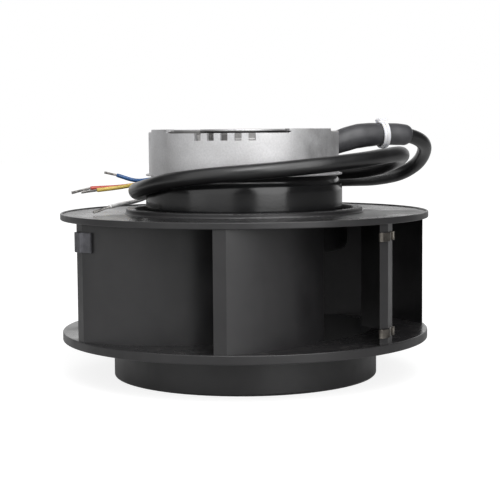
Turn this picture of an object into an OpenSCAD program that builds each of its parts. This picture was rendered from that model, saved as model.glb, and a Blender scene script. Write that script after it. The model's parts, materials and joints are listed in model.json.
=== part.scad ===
// Backward-curved centrifugal fan with an external-rotor motor.
// The fan axis is Z. The inlet neck stands on Z = 0 and the motor is on top.

/* [Impeller] */
// Outside diameter of the impeller's back disc and inlet shroud
impeller_d = 225; // [222:1:236]
// Clear height of the blades between the two discs
blade_h = 68; // [66:1:80]
// Thickness of a blade
blade_t = 3; // [2.4:0.1:3.6]
// Radius of a blade's curve
blade_curve_r = 93.5; // [90:0.5:100]
// Angle between a blade's outer end and the rim
blade_outlet_angle = 24.5; // [22:0.5:27]
// Distance from the fan axis to the inner end of a blade's curve
blade_root_r = 73.5; // [72.5:0.5:78]
// How far the blades' outer ends stay inside the rim
blade_inset = 1.2; // [0.8:0.1:2]
// Thickness of the back disc
disc_t = 3; // [2.5:0.1:4]
// Height of the bead on the rim of the back disc
bead_h = 0.8; // [0.4:0.1:1.5]
// Width of the bead on the rim of the back disc
bead_w = 1.6; // [1:0.1:3]
// Width of the collar round the rotor
collar_w = 5.5; // [4:0.5:7]
// Height of the collar above the back disc
collar_h = 3; // [2:0.5:4]
// Width of the open groove between the rotor and the collar
groove_w = 6.7; // [5.5:0.1:7.5]
// Wall of the hub cup that holds the rotor
hub_wall = 3; // [2.5:0.1:3.5]
// Thickness of the ring-shaped floor of the hub cup
hub_floor_t = 3; // [2.5:0.1:4]
// Diameter of the opening in the hub floor
hub_opening_d = 62; // [50:1:66]

/* [Inlet shroud] */
// Outside diameter of the inlet neck
neck_d = 162; // [161:0.5:166]
// Wall of the inlet neck
neck_wall = 2.8; // [2.2:0.1:3.4]
// Height of the inlet neck below the shroud's rim
neck_h = 23.3; // [18:0.1:30]
// Height of the shroud's rim
shroud_rim_h = 5.3; // [4.5:0.1:7]
// Thickness of the shroud's flat ring
shroud_t = 3; // [2.5:0.1:4]
// Width of the shroud's rim
shroud_rim_w = 2.5; // [2:0.1:4]

/* [Rotor] */
// Outside diameter of the rotor cup
rotor_d = 120.6; // [118:0.2:121.4]
// Depth of the rotor cup, closed end to open edge
rotor_depth = 42; // [41.5:0.1:43]
// Wall of the rotor cup
rotor_wall = 2.5; // [2:0.1:3]
// Height of the drawn-in edge of the rotor cup
rotor_taper_h = 7.5; // [6:0.1:9]
// How far the open edge is drawn in
rotor_taper_in = 3.7; // [3:0.1:4]
// Radius of the corner at the closed end
rotor_corner_r = 4; // [3:0.5:6]
// Thickness of the magnets
magnet_t = 5; // [4:0.1:5.5]
// Height of the magnets
magnet_h = 23; // [20:0.5:24]
// Air gap between the magnets and the stator
air_gap = 0.8; // [0.5:0.1:1.2]

/* [Shaft and bearings] */
// Diameter of the shaft
shaft_d = 8; // [7.6:0.1:8.4]
// Outside diameter of a ball bearing
bearing_d = 22; // [21.6:0.1:23]
// Width of a ball bearing
bearing_w = 7; // [6.6:0.1:7.4]
// Diameter of a bearing's balls
ball_d = 4; // [3.6:0.1:4.2]
// Wall of the housing's bearing tube
bearing_tube_wall = 2; // [1.8:0.1:2.6]
// Height of the shaft bush
bush_h = 13; // [12:0.5:14]
// Distance between the lower and the upper bearing
bearing_span = 31; // [30:0.5:32]

/* [Stator] */
// Height of the laminated core
stator_h = 20; // [18:0.5:21]
// Width of a stator tooth
tooth_w = 6; // [5:0.1:6.4]
// Opening between two tooth tips
slot_gap = 3; // [2:0.1:4]
// Thickness of the bobbins' walls
bobbin_t = 1.2; // [0.8:0.1:1.4]
// Thickness of the winding on each side of a tooth
winding_t = 2.5; // [1.8:0.1:2.6]
// Thickness of the circuit board
board_t = 1.6; // [1:0.1:2]

/* [Motor housing] */
// How far the housing's outer wall stays inside the rotor cup's
housing_inset = 2.1; // [1.4:0.1:2.6]
// Wall of the housing
housing_wall = 3.5; // [3:0.1:4]
// Height of the housing, lower lip to rim
housing_h = 26.5; // [26:0.1:28]
// How far the machined lip at the lower edge stands out
lip_out = 2; // [1:0.1:2.4]
// Height of the lip
lip_h = 1; // [0.8:0.1:2]
// Running gap between the rotor's edge and the lip
running_gap = 0.5; // [0.3:0.1:0.9]
// Depth of the rim above the deck
rim_depth = 5.3; // [5:0.1:7]
// Thickness of the deck
deck_t = 3; // [2.6:0.1:3.6]
// Number of drain slots in the rim
slot_count = 5; // [3:1:7]
// Width of a drain slot
slot_w = 4.1; // [3:0.1:4.6]
// Angle from one drain slot to the next
slot_pitch = 8; // [7:0.5:9]
// Height of the raised pads on the rim
pad_rise = 1.4; // [0.8:0.1:2.5]
// Diameter of the circle through the mounting holes
bolt_circle_d = 45; // [44.5:0.1:45.5]
// Diameter of a mounting hole
bolt_hole_d = 4.3; // [3.3:0.1:5.3]
// Depth of a mounting hole
bolt_hole_depth = 8; // [6:0.5:9]
// Diameter of the mounting seat round the bearing cap
platform_d = 54; // [50:1:58]
// Height of the mounting seat above the rim
platform_rise = 1.4; // [0.8:0.1:2.5]
// Diameter of the bearing cap
cap_d = 36; // [34:0.5:40]
// Thickness of the bearing cap
cap_t = 2.4; // [2:0.1:3.5]

/* [Lead] */
// Diameter of the lead
cable_d = 9.2; // [8:0.1:9.6]
// Diameter of the sleeve on the lead
sleeve_d = 14.6; // [13:0.1:15]
// Diameter of a wire's insulation
wire_d = 2.6; // [2:0.1:2.7]
// Diameter of a wire's bare end
wire_core_d = 1.6; // [1:0.1:1.8]
// Width of the cable tie
tie_w = 4.2; // [3.6:0.1:5]
// Thickness of the cable tie
tie_t = 1.3; // [1:0.1:1.6]
// Height of the cable tie's head above the sleeve
tie_head_h = 2.8; // [2:0.1:4]

/* [Fasteners and clips] */
// Shank diameter of the small screws
screw_d = 3; // [2.5:0.1:3.5]
// Head diameter of the small screws
screw_head_d = 5.6; // [5:0.1:6]
// Head height of the small screws
screw_head_h = 2; // [1.6:0.1:2.4]
// Sheet thickness of the balance clips
clip_t = 0.7; // [0.5:0.1:0.9]
// Height of the large balance clip
big_clip_h = 11.5; // [9:0.5:14]
// Height of the small balance clips
small_clip_h = 5; // [4.5:0.5:8]
// Diameter of the rolled end of a balance clip
clip_roll_d = 1.9; // [1.5:0.1:2.4]

/* [Hidden] */
$fn = 96;
blade_count = 7;
magnet_count = 10;
tooth_count = 12;
ball_count = 7;
big = 400;
// How far a hole is cut past the face that it opens through
over = 1;
fit = 0.1;
// Direction of the first blade's outer end
first_blade_angle = -97;
blade_pitch = 360 / blade_count;
// Places of the balance clips on a blade, and how far they reach in from its outer end
big_clip_drop = 16.1;
big_clip_reach = 2.7;
small_clip_drop = 9.6;
small_clip_rise = 4;
small_clip_reach = 3.5;

impeller_r = impeller_d / 2;
blade_tip_r = impeller_r - blade_inset;
// Distance from the fan axis to the centre of a blade's curve
curve_off = sqrt(pow(blade_curve_r, 2) + pow(blade_tip_r, 2)
    - 2 * blade_curve_r * blade_tip_r * cos(blade_outlet_angle));

neck_r = neck_d / 2;
neck_bore_r = neck_r - neck_wall;
shroud_z = neck_h + shroud_rim_h;
disc_z = shroud_z + blade_h;
disc_top_z = disc_z + disc_t;
bead_z = disc_top_z + bead_h;

rotor_r = rotor_d / 2;
hub_r = rotor_r + hub_wall;
collar_r = rotor_r + groove_w;
// The rotor cup stands on the hub floor, this far below the back disc
hub_depth = 16.6;
rotor_z = disc_z - hub_depth;
rotor_top_z = rotor_z + rotor_depth;
rotor_straight_z = rotor_top_z - rotor_taper_h;
rotor_bore_r = rotor_r - rotor_wall;
rotor_floor_z = rotor_z + rotor_wall;
hub_screw_r = 40;
hub_corner_r = 5;
collar_edge_r = 0.7;
collar_notch = 2.4;

magnet_lift = 7;
magnet_z = rotor_floor_z + magnet_lift;
magnet_bore_r = rotor_bore_r - magnet_t;
stator_r = magnet_bore_r - air_gap;
stator_z = magnet_z + (magnet_h - stator_h) / 2;
stator_top_z = stator_z + stator_h;

shaft_r = shaft_d / 2;
bearing_r = bearing_d / 2;
bush_wall = 4;
bush_r = shaft_r + bush_wall;
bush_neck_wall = 2;
bush_neck_h = 3;
bush_flange_w = 3;
bush_flange_t = 2;
bush_top_z = rotor_z + bush_h;
lower_bearing_z = bush_top_z;
upper_bearing_z = lower_bearing_z + bearing_w + bearing_span;
ball_path_r = (bearing_r + shaft_r) / 2;
race_gap = 0.08;
// Each ring starts this share of a ball's diameter from the path of the balls
ring_share = 0.38;
inner_ring_r = ball_path_r - ball_d * ring_share;
outer_ring_r = ball_path_r + ball_d * ring_share;
tube_r = bearing_r + bearing_tube_wall;
tube_z = lower_bearing_z - 1;
spring_h = 1.6;
circlip_t = 0.9;
circlip_z = upper_bearing_z + bearing_w;
shaft_top_z = circlip_z + circlip_t + 1.6;

housing_r = rotor_r - housing_inset;
housing_bore_r = housing_r - housing_wall;
lip_r = housing_r + lip_out;
lip_z = rotor_top_z + running_gap;
rim_z = lip_z + housing_h;
deck_top_z = rim_z - rim_depth;
deck_z = deck_top_z - deck_t;
bolt_circle_r = bolt_circle_d / 2;
platform_r = platform_d / 2;
platform_z = rim_z + platform_rise;
front_rim_drop = 1;
front_rim_ramp = 2;
// The lowered front of the rim reaches this far to each side, as angles from straight ahead
front_rim_left = 47.6;
front_rim_right = 26.5;
// Raised pads of the rim, each from one angle to another, and their width
rim_pads = [[-63, -27], [-162, -141], [40, 66], [117, 153]];
pad_w = 5.5;

yoke_w = 9;
yoke_r = tube_r + yoke_w;
winding_gap = 2.5;
winding_r1 = yoke_r + winding_gap;
shoe_t = 3.5;
shoe_gap = 1.5;
winding_r2 = stator_r - shoe_t - shoe_gap;
bobbin_wall_h = 5.5;
cover_z = stator_top_z + bobbin_t + bobbin_wall_h;
cover_t = 1.2;
board_lift = 3.5;
board_z = lip_z + board_lift;
board_top_z = board_z + board_t;
board_gap = 1;
board_r = housing_bore_r - board_gap;
// The posts that carry the board stand this far inside the housing's wall
post_gap = 10.7;
post_circle_r = housing_bore_r - post_gap;
post_r = 3.2;
board_screw_bite = 6;
capacitor_r = 5;
capacitor_h = 10.5;
capacitor_gap = 20.7;
transistor_size = [6.6, 6.4, 2.3];
transistor_gap = 8.7;
post_angles = [80, 200, 320];

// Direction of the lead's axis where it leaves the housing, and its depth below the deck
cable_angle = 20;
cable_exit_drop = 2.7;
cable_exit_z = deck_top_z - cable_exit_drop;
sleeve_r = sleeve_d / 2;
sleeve_bore_r = sleeve_r + fit;
chamber_gap = 0.8;
chamber_w = sleeve_d + 2 * chamber_gap;
chamber_wall = 3;
chamber_r = platform_r + chamber_wall;
// The saddle under the clamp starts this far inside the housing's wall
saddle_gap = 9.7;
saddle_r = housing_bore_r - saddle_gap;
saddle_drop = 4;
saddle_z = rim_z - saddle_drop;
clamp_gap = 1;
clamp_l = 6.5;
clamp_ear = 5.8;
clamp_r1 = saddle_r + clamp_gap;
clamp_r2 = clamp_r1 + clamp_l;
clamp_w = sleeve_d + 2 * clamp_ear;
clamp_screw_y = (sleeve_r + clamp_w / 2) / 2;
lid_t = 2;
lid_z = platform_z - lid_t;
lid_w = chamber_w + 2 * chamber_wall;
lid_ear_r = 3.4;
lid_ear_x = (platform_r + saddle_r) / 2;
lid_ear_y = lid_w / 2;
// How far each kind of housing screw goes into the casting, and the height of its flat head
cap_screw_bite = 5;
lid_screw_bite = 5;
clamp_screw_bite = 6;
flat_head_h = 1.5;
slots_angle = -101.2;
pin_circle_r = stator_r - 1.1;
pin_r = 0.6;
hall_angles = [30, 60, 90];
pin_angles = [0, 120, 240];
hall_top_z = magnet_z + magnet_h + 4;
header_h = 6;
header_r = platform_r + 1.5;
header_l = 6;
lead_pitch = 2.2;
lead_sides = 12;
wire_sides = 8;

// Points of the lead: x and y for a housing of radius route_r, and heights from the lead's exit
route_r = 58.2;
function place(points) =
    [for (p = points) [p[0] * housing_r / route_r, p[1] * housing_r / route_r, cable_exit_z + p[2]]];
// The lead from the housing's outer wall to the end of its jacket
outer_route = place([
    [54.7, 19.9, 0], [72, 26.2, 4.4], [91.2, 33, 5.6], [105.5, 38.2, 4.6], [115, 46.5, 1],
    [119, 60, -5], [116, 74, -14], [106, 83, -21], [90, 86, -24.4], [73, 86, -25],
    [55, 87, -25.2], [37, 89, -25.6], [19, 90, -26], [1, 89, -26.6], [-17, 85, -27.5],
    [-33, 77, -28.5], [-47, 65, -29.6], [-58, 50, -30.3], [-65, 33, -30.4], [-67, 16, -29.6],
    [-66.5, -1, -28], [-64.5, -17, -26.8], [-58.5, -33, -24.6], [-47.5, -48, -21.2], [-31, -60, -18.4],
    [-13, -66.5, -16.4], [5, -68, -15], [23, -65.5, -13.6], [41, -60, -12], [57, -51.5, -10.4],
    [72, -41, -8.8], [84, -28, -7.2], [94.5, -12, -6.4], [97.5, 5, -8.2], [95, 22, -11.8],
    [87.5, 37, -15.8], [75.5, 51.5, -18.6], [58, 63, -19.8], [41, 70.5, -20.6], [23, 74, -21],
    [4, 75, -21], [-14, 75, -21]]);
// Route of the lead's axis, which starts inside the wiring chamber
lead_start_r = chamber_r + 10.4;
cable_route = concat([[lead_start_r * cos(cable_angle), lead_start_r * sin(cable_angle), cable_exit_z]],
    outer_route);
// The sleeve covers the lead up to this point of its route
sleeve_last = 4;
// Routes of the four wires, from the end of the jacket to their bare ends
blue_route = place([
    [-14, 76.4, -19.6], [-26, 76.4, -19.6], [-42, 75, -20], [-58, 68, -22.4], [-71, 61, -23.7],
    [-84, 60, -20], [-92, 60, -18.2]]);
yellow_route = place([
    [-14, 73.6, -19.6], [-26, 73.6, -19.6], [-41, 70, -20], [-55, 60, -22.4], [-68, 49, -25.4],
    [-81, 42, -27.5], [-95, 40, -29.1], [-105, 40, -30.4]]);
red_route = place([
    [-14, 73.6, -22.4], [-26, 73.6, -22.4], [-43, 70, -22.6], [-62, 61, -24.8], [-80, 53, -27.2],
    [-100, 47, -28], [-112, 45, -30.9]]);
white_route = place([
    [-14, 76.4, -22.4], [-26, 76.4, -22.4], [-40, 80.5, -22], [-54, 76, -29], [-64, 61, -34.6],
    [-70, 42, -36.4], [-76, 15, -36.6], [-81.5, -16, -36.8], [-90.5, -22, -39.8]]);

// Rectangle in the plane of a turned profile, between two radii and two heights
module band(r1, r2, z1, z2) {
    translate([r1, z1]) square([r2 - r1, z2 - z1]);
}

// The same rectangle with rounded corners
module soft_band(r1, r2, z1, z2, corner) {
    band(r1 + corner, r2 - corner, z1, z2);
    band(r1, r2, z1 + corner, z2 - corner);
    for (r = [r1 + corner, r2 - corner], z = [z1 + corner, z2 - corner])
        translate([r, z]) circle(corner, $fn = 32);
}

// Fillet that fills the corner at a point; dr and dz say which way its legs run
module fillet(r, z, size, dr, dz) {
    difference() {
        translate([min(r, r + dr * size), min(z, z + dz * size)]) square(size);
        translate([r + dr * size, z + dz * size]) circle(size);
    }
}

// Solid disc or post between two heights
module post(r, z1, z2) {
    translate([0, 0, z1]) cylinder(r = r, h = z2 - z1);
}

// Copies of a child on a circle, at the given angles
module around(radius, angles) {
    for (a = angles) rotate(a) translate([radius, 0, 0]) children();
}

// Evenly spaced angles
function spread(count, start = 0) = [for (i = [0:count - 1]) start + i * 360 / count];

// --- Impeller ---

// Angle about the fan axis at which a blade's curve reaches a radius
function blade_axis_angle(r) =
    acos((r * r + curve_off * curve_off - blade_curve_r * blade_curve_r) / (2 * r * curve_off));

// Angle about the curve's own centre at which an arc of radius arc_r reaches the same radius
function curve_angle(r, arc_r = blade_curve_r) =
    acos((r * r - curve_off * curve_off - arc_r * arc_r) / (2 * curve_off * arc_r));

// Strip along a blade's curve, between two radii from the fan axis
module blade_strip(r1, r2, extra) {
    half_t = blade_t / 2 + extra;
    intersection() {
        translate([curve_off, 0]) difference() {
            circle(blade_curve_r + half_t);
            circle(blade_curve_r - half_t);
        }
        difference() {
            circle(r2);
            if (r1 > 0) circle(r1);
        }
        translate([-big, 0]) square([2 * big, big]);
        translate([curve_off, 0]) rotate(curve_angle(blade_root_r))
            translate([-big, -big]) square([2 * big, big]);
    }
}

// Outline of a blade, with its rounded inner end
module blade_outline() {
    blade_strip(0, blade_tip_r, 0);
    translate([curve_off, 0]) rotate(curve_angle(blade_root_r))
        translate([blade_curve_r, 0]) circle(d = blade_t, $fn = 32);
}

// Turns a child to the place of blade number i
module at_blade(i) {
    rotate(first_blade_angle + (i - 1) * blade_pitch - blade_axis_angle(blade_tip_r)) children();
}

module blade(i) {
    color("#26272a") at_blade(i) translate([0, 0, shroud_z])
        linear_extrude(blade_h) blade_outline();
}

// Folded sheet clip on the outer end of blade i, with a rolled end on the blade's outer face
module balance_clip(i, z, height, reach, tint) {
    outer_r = blade_curve_r + blade_t / 2;
    // The fold goes round the blade's sharp corner at the rim
    fold_angle = curve_angle(blade_tip_r, blade_curve_r - blade_t / 2)
        - clip_t / blade_curve_r * 180 / PI;
    color(tint) at_blade(i) translate([0, 0, z]) linear_extrude(height) difference() {
        union() {
            intersection() {
                blade_strip(blade_tip_r - reach, blade_tip_r + clip_t, clip_t);
                translate([curve_off, 0]) rotate(fold_angle) translate([-big, 0])
                    square([2 * big, big]);
            }
            translate([curve_off, 0]) rotate(curve_angle(blade_tip_r - reach, outer_r))
                translate([outer_r + clip_roll_d / 2, 0]) circle(d = clip_roll_d, $fn = 32);
        }
        blade_strip(0, blade_tip_r, 0);
    }
}

module impeller_disc() {
    color("#2b2c30") difference() {
        rotate_extrude() {
            band(rotor_r, impeller_r - 1, disc_z, disc_top_z);
            soft_band(impeller_r - bead_w, impeller_r, disc_z, bead_z, 0.6);
            soft_band(collar_r, collar_r + collar_w, disc_z, disc_top_z + collar_h, collar_edge_r);
            fillet(collar_r + collar_w, disc_top_z, 1.2, 1, 1);
            hub_profile();
        }
        around(hub_screw_r, spread(4, 45)) post(screw_d / 2, 0, rotor_z + over);
        rotate(8) translate([collar_r + collar_w / 2, 0, disc_top_z + collar_h])
            cube([2 * collar_w, collar_notch, collar_notch], center = true);
    }
}

// Cup of the hub: its wall, floor, rounded corner and the fillet under the back disc
module hub_profile() {
    floor_z = rotor_z - hub_floor_t;
    opening_r = hub_opening_d / 2;
    bead = 3;
    difference() {
        union() {
            band(opening_r, hub_r - hub_corner_r, floor_z, rotor_z);
            band(rotor_r - hub_corner_r, hub_r, floor_z + hub_corner_r, disc_z);
            translate([hub_r - hub_corner_r, floor_z + hub_corner_r]) circle(hub_corner_r);
        }
        rotor_outline();
    }
    fillet(hub_r, disc_z, hub_corner_r, 1, -1);
    soft_band(opening_r, opening_r + bead, floor_z - 2, rotor_z, 0.8);
}

module inlet_shroud() {
    edge_r = 1.3;
    color("#2a2b2e") rotate_extrude() {
        band(neck_bore_r, neck_r, edge_r + fit, shroud_z);
        soft_band(neck_bore_r, neck_r, 0, shroud_z, edge_r);
        band(neck_bore_r, impeller_r - 1, shroud_z - shroud_t, shroud_z);
        soft_band(impeller_r - shroud_rim_w, impeller_r - 0.4, neck_h, shroud_z, 0.6);
        fillet(neck_r, shroud_z - shroud_t, 4, 1, -1);
    }
}

// --- Rotor ---

// Outer outline of the rotor cup as a turned profile
module rotor_outline() {
    band(0, rotor_r, rotor_z + rotor_corner_r, rotor_straight_z);
    band(0, rotor_r - rotor_corner_r, rotor_z, rotor_straight_z);
    translate([rotor_r - rotor_corner_r, rotor_z + rotor_corner_r]) circle(rotor_corner_r);
}

module rotor_cup() {
    edge_r = rotor_r - rotor_taper_in;
    color("#1d1e21") difference() {
        rotate_extrude() difference() {
            union() {
                intersection() {
                    rotor_outline();
                    band(0, rotor_r, rotor_z, rotor_top_z);
                }
                polygon([[0, rotor_straight_z], [rotor_r, rotor_straight_z],
                    [edge_r, rotor_top_z], [0, rotor_top_z]]);
            }
            band(0, rotor_bore_r, rotor_floor_z, rotor_straight_z);
            polygon([[0, rotor_straight_z], [rotor_bore_r, rotor_straight_z],
                [edge_r - rotor_wall, rotor_top_z], [0, rotor_top_z]]);
            band(0, bush_r, rotor_z, rotor_floor_z);
        }
        around(hub_screw_r, spread(4, 45))
            post(screw_d / 2, rotor_z - over, rotor_floor_z + over);
    }
}

module magnet_segments() {
    gap_angle = 1.5;
    color("#4a4744") for (a = spread(magnet_count))
        rotate(a + gap_angle / 2) translate([0, 0, magnet_z])
            rotate_extrude(angle = 360 / magnet_count - gap_angle)
                band(magnet_bore_r, rotor_bore_r, 0, magnet_h);
}

module shaft_bush() {
    color("#8d9094") rotate_extrude() {
        band(shaft_r, bush_r, rotor_z, bush_top_z - bush_neck_h);
        band(shaft_r, shaft_r + bush_neck_wall, rotor_z, bush_top_z);
        band(shaft_r, bush_r + bush_flange_w, rotor_floor_z, rotor_floor_z + bush_flange_t);
    }
}

module motor_shaft() {
    chamfer = 0.6;
    color("#c9ccd0") rotate_extrude() difference() {
        polygon([[0, rotor_z], [shaft_r, rotor_z], [shaft_r, shaft_top_z - chamfer],
            [shaft_r - chamfer, shaft_top_z], [0, shaft_top_z]]);
        band(shaft_r - 0.4, big, circlip_z, circlip_z + circlip_t);
    }
}

module shaft_circlip() {
    color("#55585c") translate([0, 0, circlip_z]) linear_extrude(circlip_t) difference() {
        union() {
            circle(shaft_r + 1.8);
            for (side = [-1, 1]) translate([shaft_r + 1.4, side * 1.9]) circle(1.3, $fn = 32);
        }
        circle(shaft_r - 0.4);
        translate([0, -0.9]) square([big, 1.8]);
    }
}

// Pan-head screw with a cross recess, its head on z = 0 and its shank upward
module pan_screw(shank) {
    difference() {
        union() {
            cylinder(d = screw_d, h = shank);
            rotate_extrude() intersection() {
                soft_band(-screw_head_d / 2, screw_head_d / 2, -screw_head_h, screw_head_h, 0.9);
                band(0, screw_head_d / 2, -screw_head_h, 0);
            }
        }
        for (a = [0, 90]) rotate(a) translate([0, 0, -screw_head_h])
            cube([screw_head_d * 0.55, 0.8, 1.6], center = true);
    }
}

module hub_screws() {
    color("#8f9296") around(hub_screw_r, spread(4, 45))
        translate([0, 0, rotor_z - hub_floor_t]) pan_screw(hub_floor_t + rotor_wall);
}

// --- Bearings ---

// Groove for the balls, as a circle in the turned profile
module ball_groove(z) {
    translate([ball_path_r, z + bearing_w / 2]) circle(ball_d / 2 + race_gap, $fn = 48);
}

module bearing_inner(z) {
    color("#d3d5d8") rotate_extrude() difference() {
        soft_band(shaft_r, inner_ring_r, z, z + bearing_w, 0.3);
        ball_groove(z);
    }
}

module bearing_outer(z) {
    color("#d3d5d8") rotate_extrude() difference() {
        soft_band(outer_ring_r, bearing_r, z, z + bearing_w, 0.3);
        ball_groove(z);
    }
}

// Balls of a bearing with the cage that spaces them
module bearing_balls(z) {
    cage_h = ball_d * 0.5;
    translate([0, 0, z + bearing_w / 2]) {
        color("#e2e4e6") around(ball_path_r, spread(ball_count)) sphere(d = ball_d, $fn = 48);
        color("#b08d4c") difference() {
            rotate_extrude() band(inner_ring_r + 0.4, outer_ring_r - 0.4, -cage_h / 2, cage_h / 2);
            around(ball_path_r, spread(ball_count)) sphere(d = ball_d, $fn = 48);
        }
    }
}

module preload_spring() {
    color("#a9adb1") rotate_extrude() {
        band(bearing_r - 2, bearing_r - 0.2, upper_bearing_z - spring_h, upper_bearing_z);
    }
}

// --- Stator ---

// Outline of the toothed core, grown by a margin for the bobbins
module core_outline(margin) {
    difference() {
        union() {
            circle(yoke_r);
            for (a = spread(tooth_count)) rotate(a)
                translate([0, -tooth_w / 2 - margin]) square([stator_r - 1, tooth_w + 2 * margin]);
            difference() {
                circle(stator_r);
                circle(stator_r - shoe_t);
            }
        }
        circle(tube_r);
        for (a = spread(tooth_count, 180 / tooth_count)) rotate(a)
            translate([yoke_r + 4, -slot_gap / 2]) square([big, slot_gap]);
    }
}

module stator_core() {
    color("#6c6f73") translate([0, 0, stator_z]) linear_extrude(stator_h) core_outline(0);
}

// Plastic end piece on the core: a plate with an inner wall and a wall at the tooth tips
module bobbin() {
    linear_extrude(bobbin_t) core_outline(0);
    linear_extrude(bobbin_t + bobbin_wall_h) difference() {
        circle(tube_r + 2);
        circle(tube_r);
    }
    linear_extrude(bobbin_t + bobbin_wall_h - 1.5) intersection() {
        core_outline(0);
        difference() {
            circle(winding_r2 + 1.6 + bobbin_t);
            circle(winding_r2 + 1.6);
        }
    }
}

module upper_bobbin() {
    color("#e8e4d8") translate([0, 0, stator_top_z]) bobbin();
}

module lower_bobbin() {
    color("#e8e4d8") translate([0, 0, stator_z]) mirror([0, 0, 1]) bobbin();
}

// Rounded rectangle centred on the origin
module soft_rect(w, h, corner) {
    translate([-w / 2, -h / 2]) soft_band(0, w, 0, h, corner);
}

module stator_coils() {
    inner_w = tooth_w + 2 * fit;
    inner_h = stator_h + 2 * bobbin_t;
    color("#b5652c") for (a = spread(tooth_count)) rotate(a)
        translate([winding_r1, 0, stator_z + stator_h / 2]) rotate([90, 0, 90])
            linear_extrude(winding_r2 - winding_r1) difference() {
                soft_rect(inner_w + 2 * winding_t, inner_h + 2 * winding_t, 1.6);
                square([inner_w, inner_h], center = true);
            }
}

module stator_cover() {
    color("#d9cfae") rotate_extrude() band(tube_r, winding_r2, cover_z, cover_z + cover_t);
}

module phase_pins() {
    color("#c8a86a") around(pin_circle_r, pin_angles)
        post(pin_r, stator_top_z + bobbin_t, board_top_z + 1);
}

// --- Electronics ---

module circuit_board() {
    color("#2f6b3f") difference() {
        post(board_r, board_z, board_top_z);
        post(tube_r + 0.6, 0, big);
        around(post_circle_r, post_angles) post(screw_d / 2 + 0.1, 0, big);
        around(pin_circle_r, pin_angles) post(pin_r + fit, 0, big);
        around(pin_circle_r, hall_angles) hall_legs(0.9);
    }
}

module capacitors() {
    color("#3b3f58") around(board_r - capacitor_gap, [110, 150, 240])
        translate([0, 0, board_top_z]) rotate_extrude() intersection() {
            soft_band(-capacitor_r, capacitor_r, 0, capacitor_h, 0.9);
            band(0, capacitor_r, 0, capacitor_h);
        }
}

module power_transistors() {
    color("#232427") around(board_r - transistor_gap, [100, 120, 140, 160, 180, 220])
        translate([-transistor_size[0] / 2, -transistor_size[1] / 2, board_top_z])
            cube(transistor_size);
}

// Three legs of a hall sensor, as square bars this wide
module hall_legs(w) {
    for (y = [-1.3, 0, 1.3]) translate([-w / 2, y - w / 2, hall_top_z])
        cube([w, w, board_top_z + 0.6 - hall_top_z]);
}

module hall_sensors() {
    body_z = stator_top_z + 1.5;
    color("#2b2b2b") around(pin_circle_r, hall_angles) {
        hall_legs(0.5);
        translate([-0.8, -2, body_z]) cube([1.6, 4, hall_top_z - body_z]);
    }
}

// Sideways places of the four wires at the header
function lead_places() = [for (i = [0:3]) (i - 1.5) * lead_pitch];

module wire_header() {
    color("#efe9da") rotate(cable_angle) translate([header_r, 0, board_top_z]) difference() {
        translate([0, -2.6 * lead_pitch, 0]) cube([header_l, 5.2 * lead_pitch, header_h]);
        for (y = lead_places()) translate([header_l / 2, y, 2]) cylinder(d = wire_core_d, h = header_h);
    }
}

// Four wires from the inner end of the lead, bent down into the header
module board_leads() {
    start_r = norm([cable_route[0][0], cable_route[0][1]]);
    end_r = header_r + header_l / 2;
    bend = 5.5;
    color("#c9b24a") rotate(cable_angle) for (y = lead_places()) {
        translate([end_r + bend, y, cable_exit_z]) rotate([0, 90, 0])
            cylinder(d = wire_core_d, h = start_r - end_r - bend);
        translate([end_r + bend, y, cable_exit_z - bend]) rotate([90, 0, 0]) rotate(90)
            rotate_extrude(angle = 90) translate([bend, 0]) circle(d = wire_core_d, $fn = 32);
        translate([end_r, y, board_top_z + 2])
            cylinder(d = wire_core_d, h = cable_exit_z - bend - board_top_z - 2);
    }
}

module board_screws() {
    color("#9a9da1") around(post_circle_r, post_angles)
        translate([0, 0, board_z]) pan_screw(board_t + board_screw_bite);
}

// --- Motor housing ---

// Countersunk screw: the flat of its head on z = 0 and its shank downward
module flat_screw(shank) {
    rotate_extrude() polygon([[0, 0], [screw_head_d / 2, 0], [screw_d / 2, -flat_head_h],
        [screw_d / 2, -shank], [0, -shank]]);
}

// Countersunk hole for the same screw, open through the face at z = 0
module flat_screw_hole(depth) {
    rotate_extrude() polygon([[0, over], [screw_head_d / 2, over], [screw_head_d / 2, 0],
        [screw_d / 2, -flat_head_h], [screw_d / 2, -depth], [0, -depth]]);
}

// The same screw with its cross recess
module recessed_screw(shank) {
    difference() {
        flat_screw(shank);
        for (a = [0, 90]) rotate(a) cube([screw_head_d * 0.55, 0.8, 1.6], center = true);
    }
}

// Turned body of the housing: wall, lip, deck, raised seat and bearing tube
module housing_profile() {
    soft_band(housing_bore_r, housing_r, lip_z, rim_z, 0.8);
    soft_band(housing_bore_r, lip_r, lip_z, lip_z + lip_h, 0.3);
    band(bearing_r, housing_r - 1, deck_z, deck_top_z);
    fillet(housing_bore_r, deck_z, 2.5, -1, -1);
    fillet(housing_bore_r, deck_top_z, 1.5, -1, 1);
    fillet(platform_r, deck_top_z, 1.5, 1, 1);
    band(bearing_r, platform_r - 1, deck_z, platform_z - cap_t);
    soft_band(cap_d / 2, platform_r, deck_z, platform_z, 0.8);
    difference() {
        band(bearing_r - 1.6, tube_r, tube_z, deck_top_z);
        band(0, bearing_r, 0, lower_bearing_z + bearing_w);
        band(0, bearing_r, upper_bearing_z - spring_h, big);
    }
}

// Box that starts at a distance from the fan axis and runs outward
module outward_box(r1, r2, w, z1, z2) {
    translate([r1, -w / 2, z1]) cube([r2 - r1, w, z2 - z1]);
}

// Raised part of the rim between two angles
module rim_pad(from, to) {
    rotate(from) rotate_extrude(angle = to - from)
        soft_band(housing_r - pad_w, housing_r, deck_z, rim_z + pad_rise, 0.5);
}

// Drain slots in the front of the rim, down to the deck
module drain_slots() {
    for (i = [0:slot_count - 1]) rotate(slots_angle + (i - (slot_count - 1) / 2) * slot_pitch)
        outward_box(housing_bore_r - 2, big, slot_w, deck_top_z, big);
}

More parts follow.
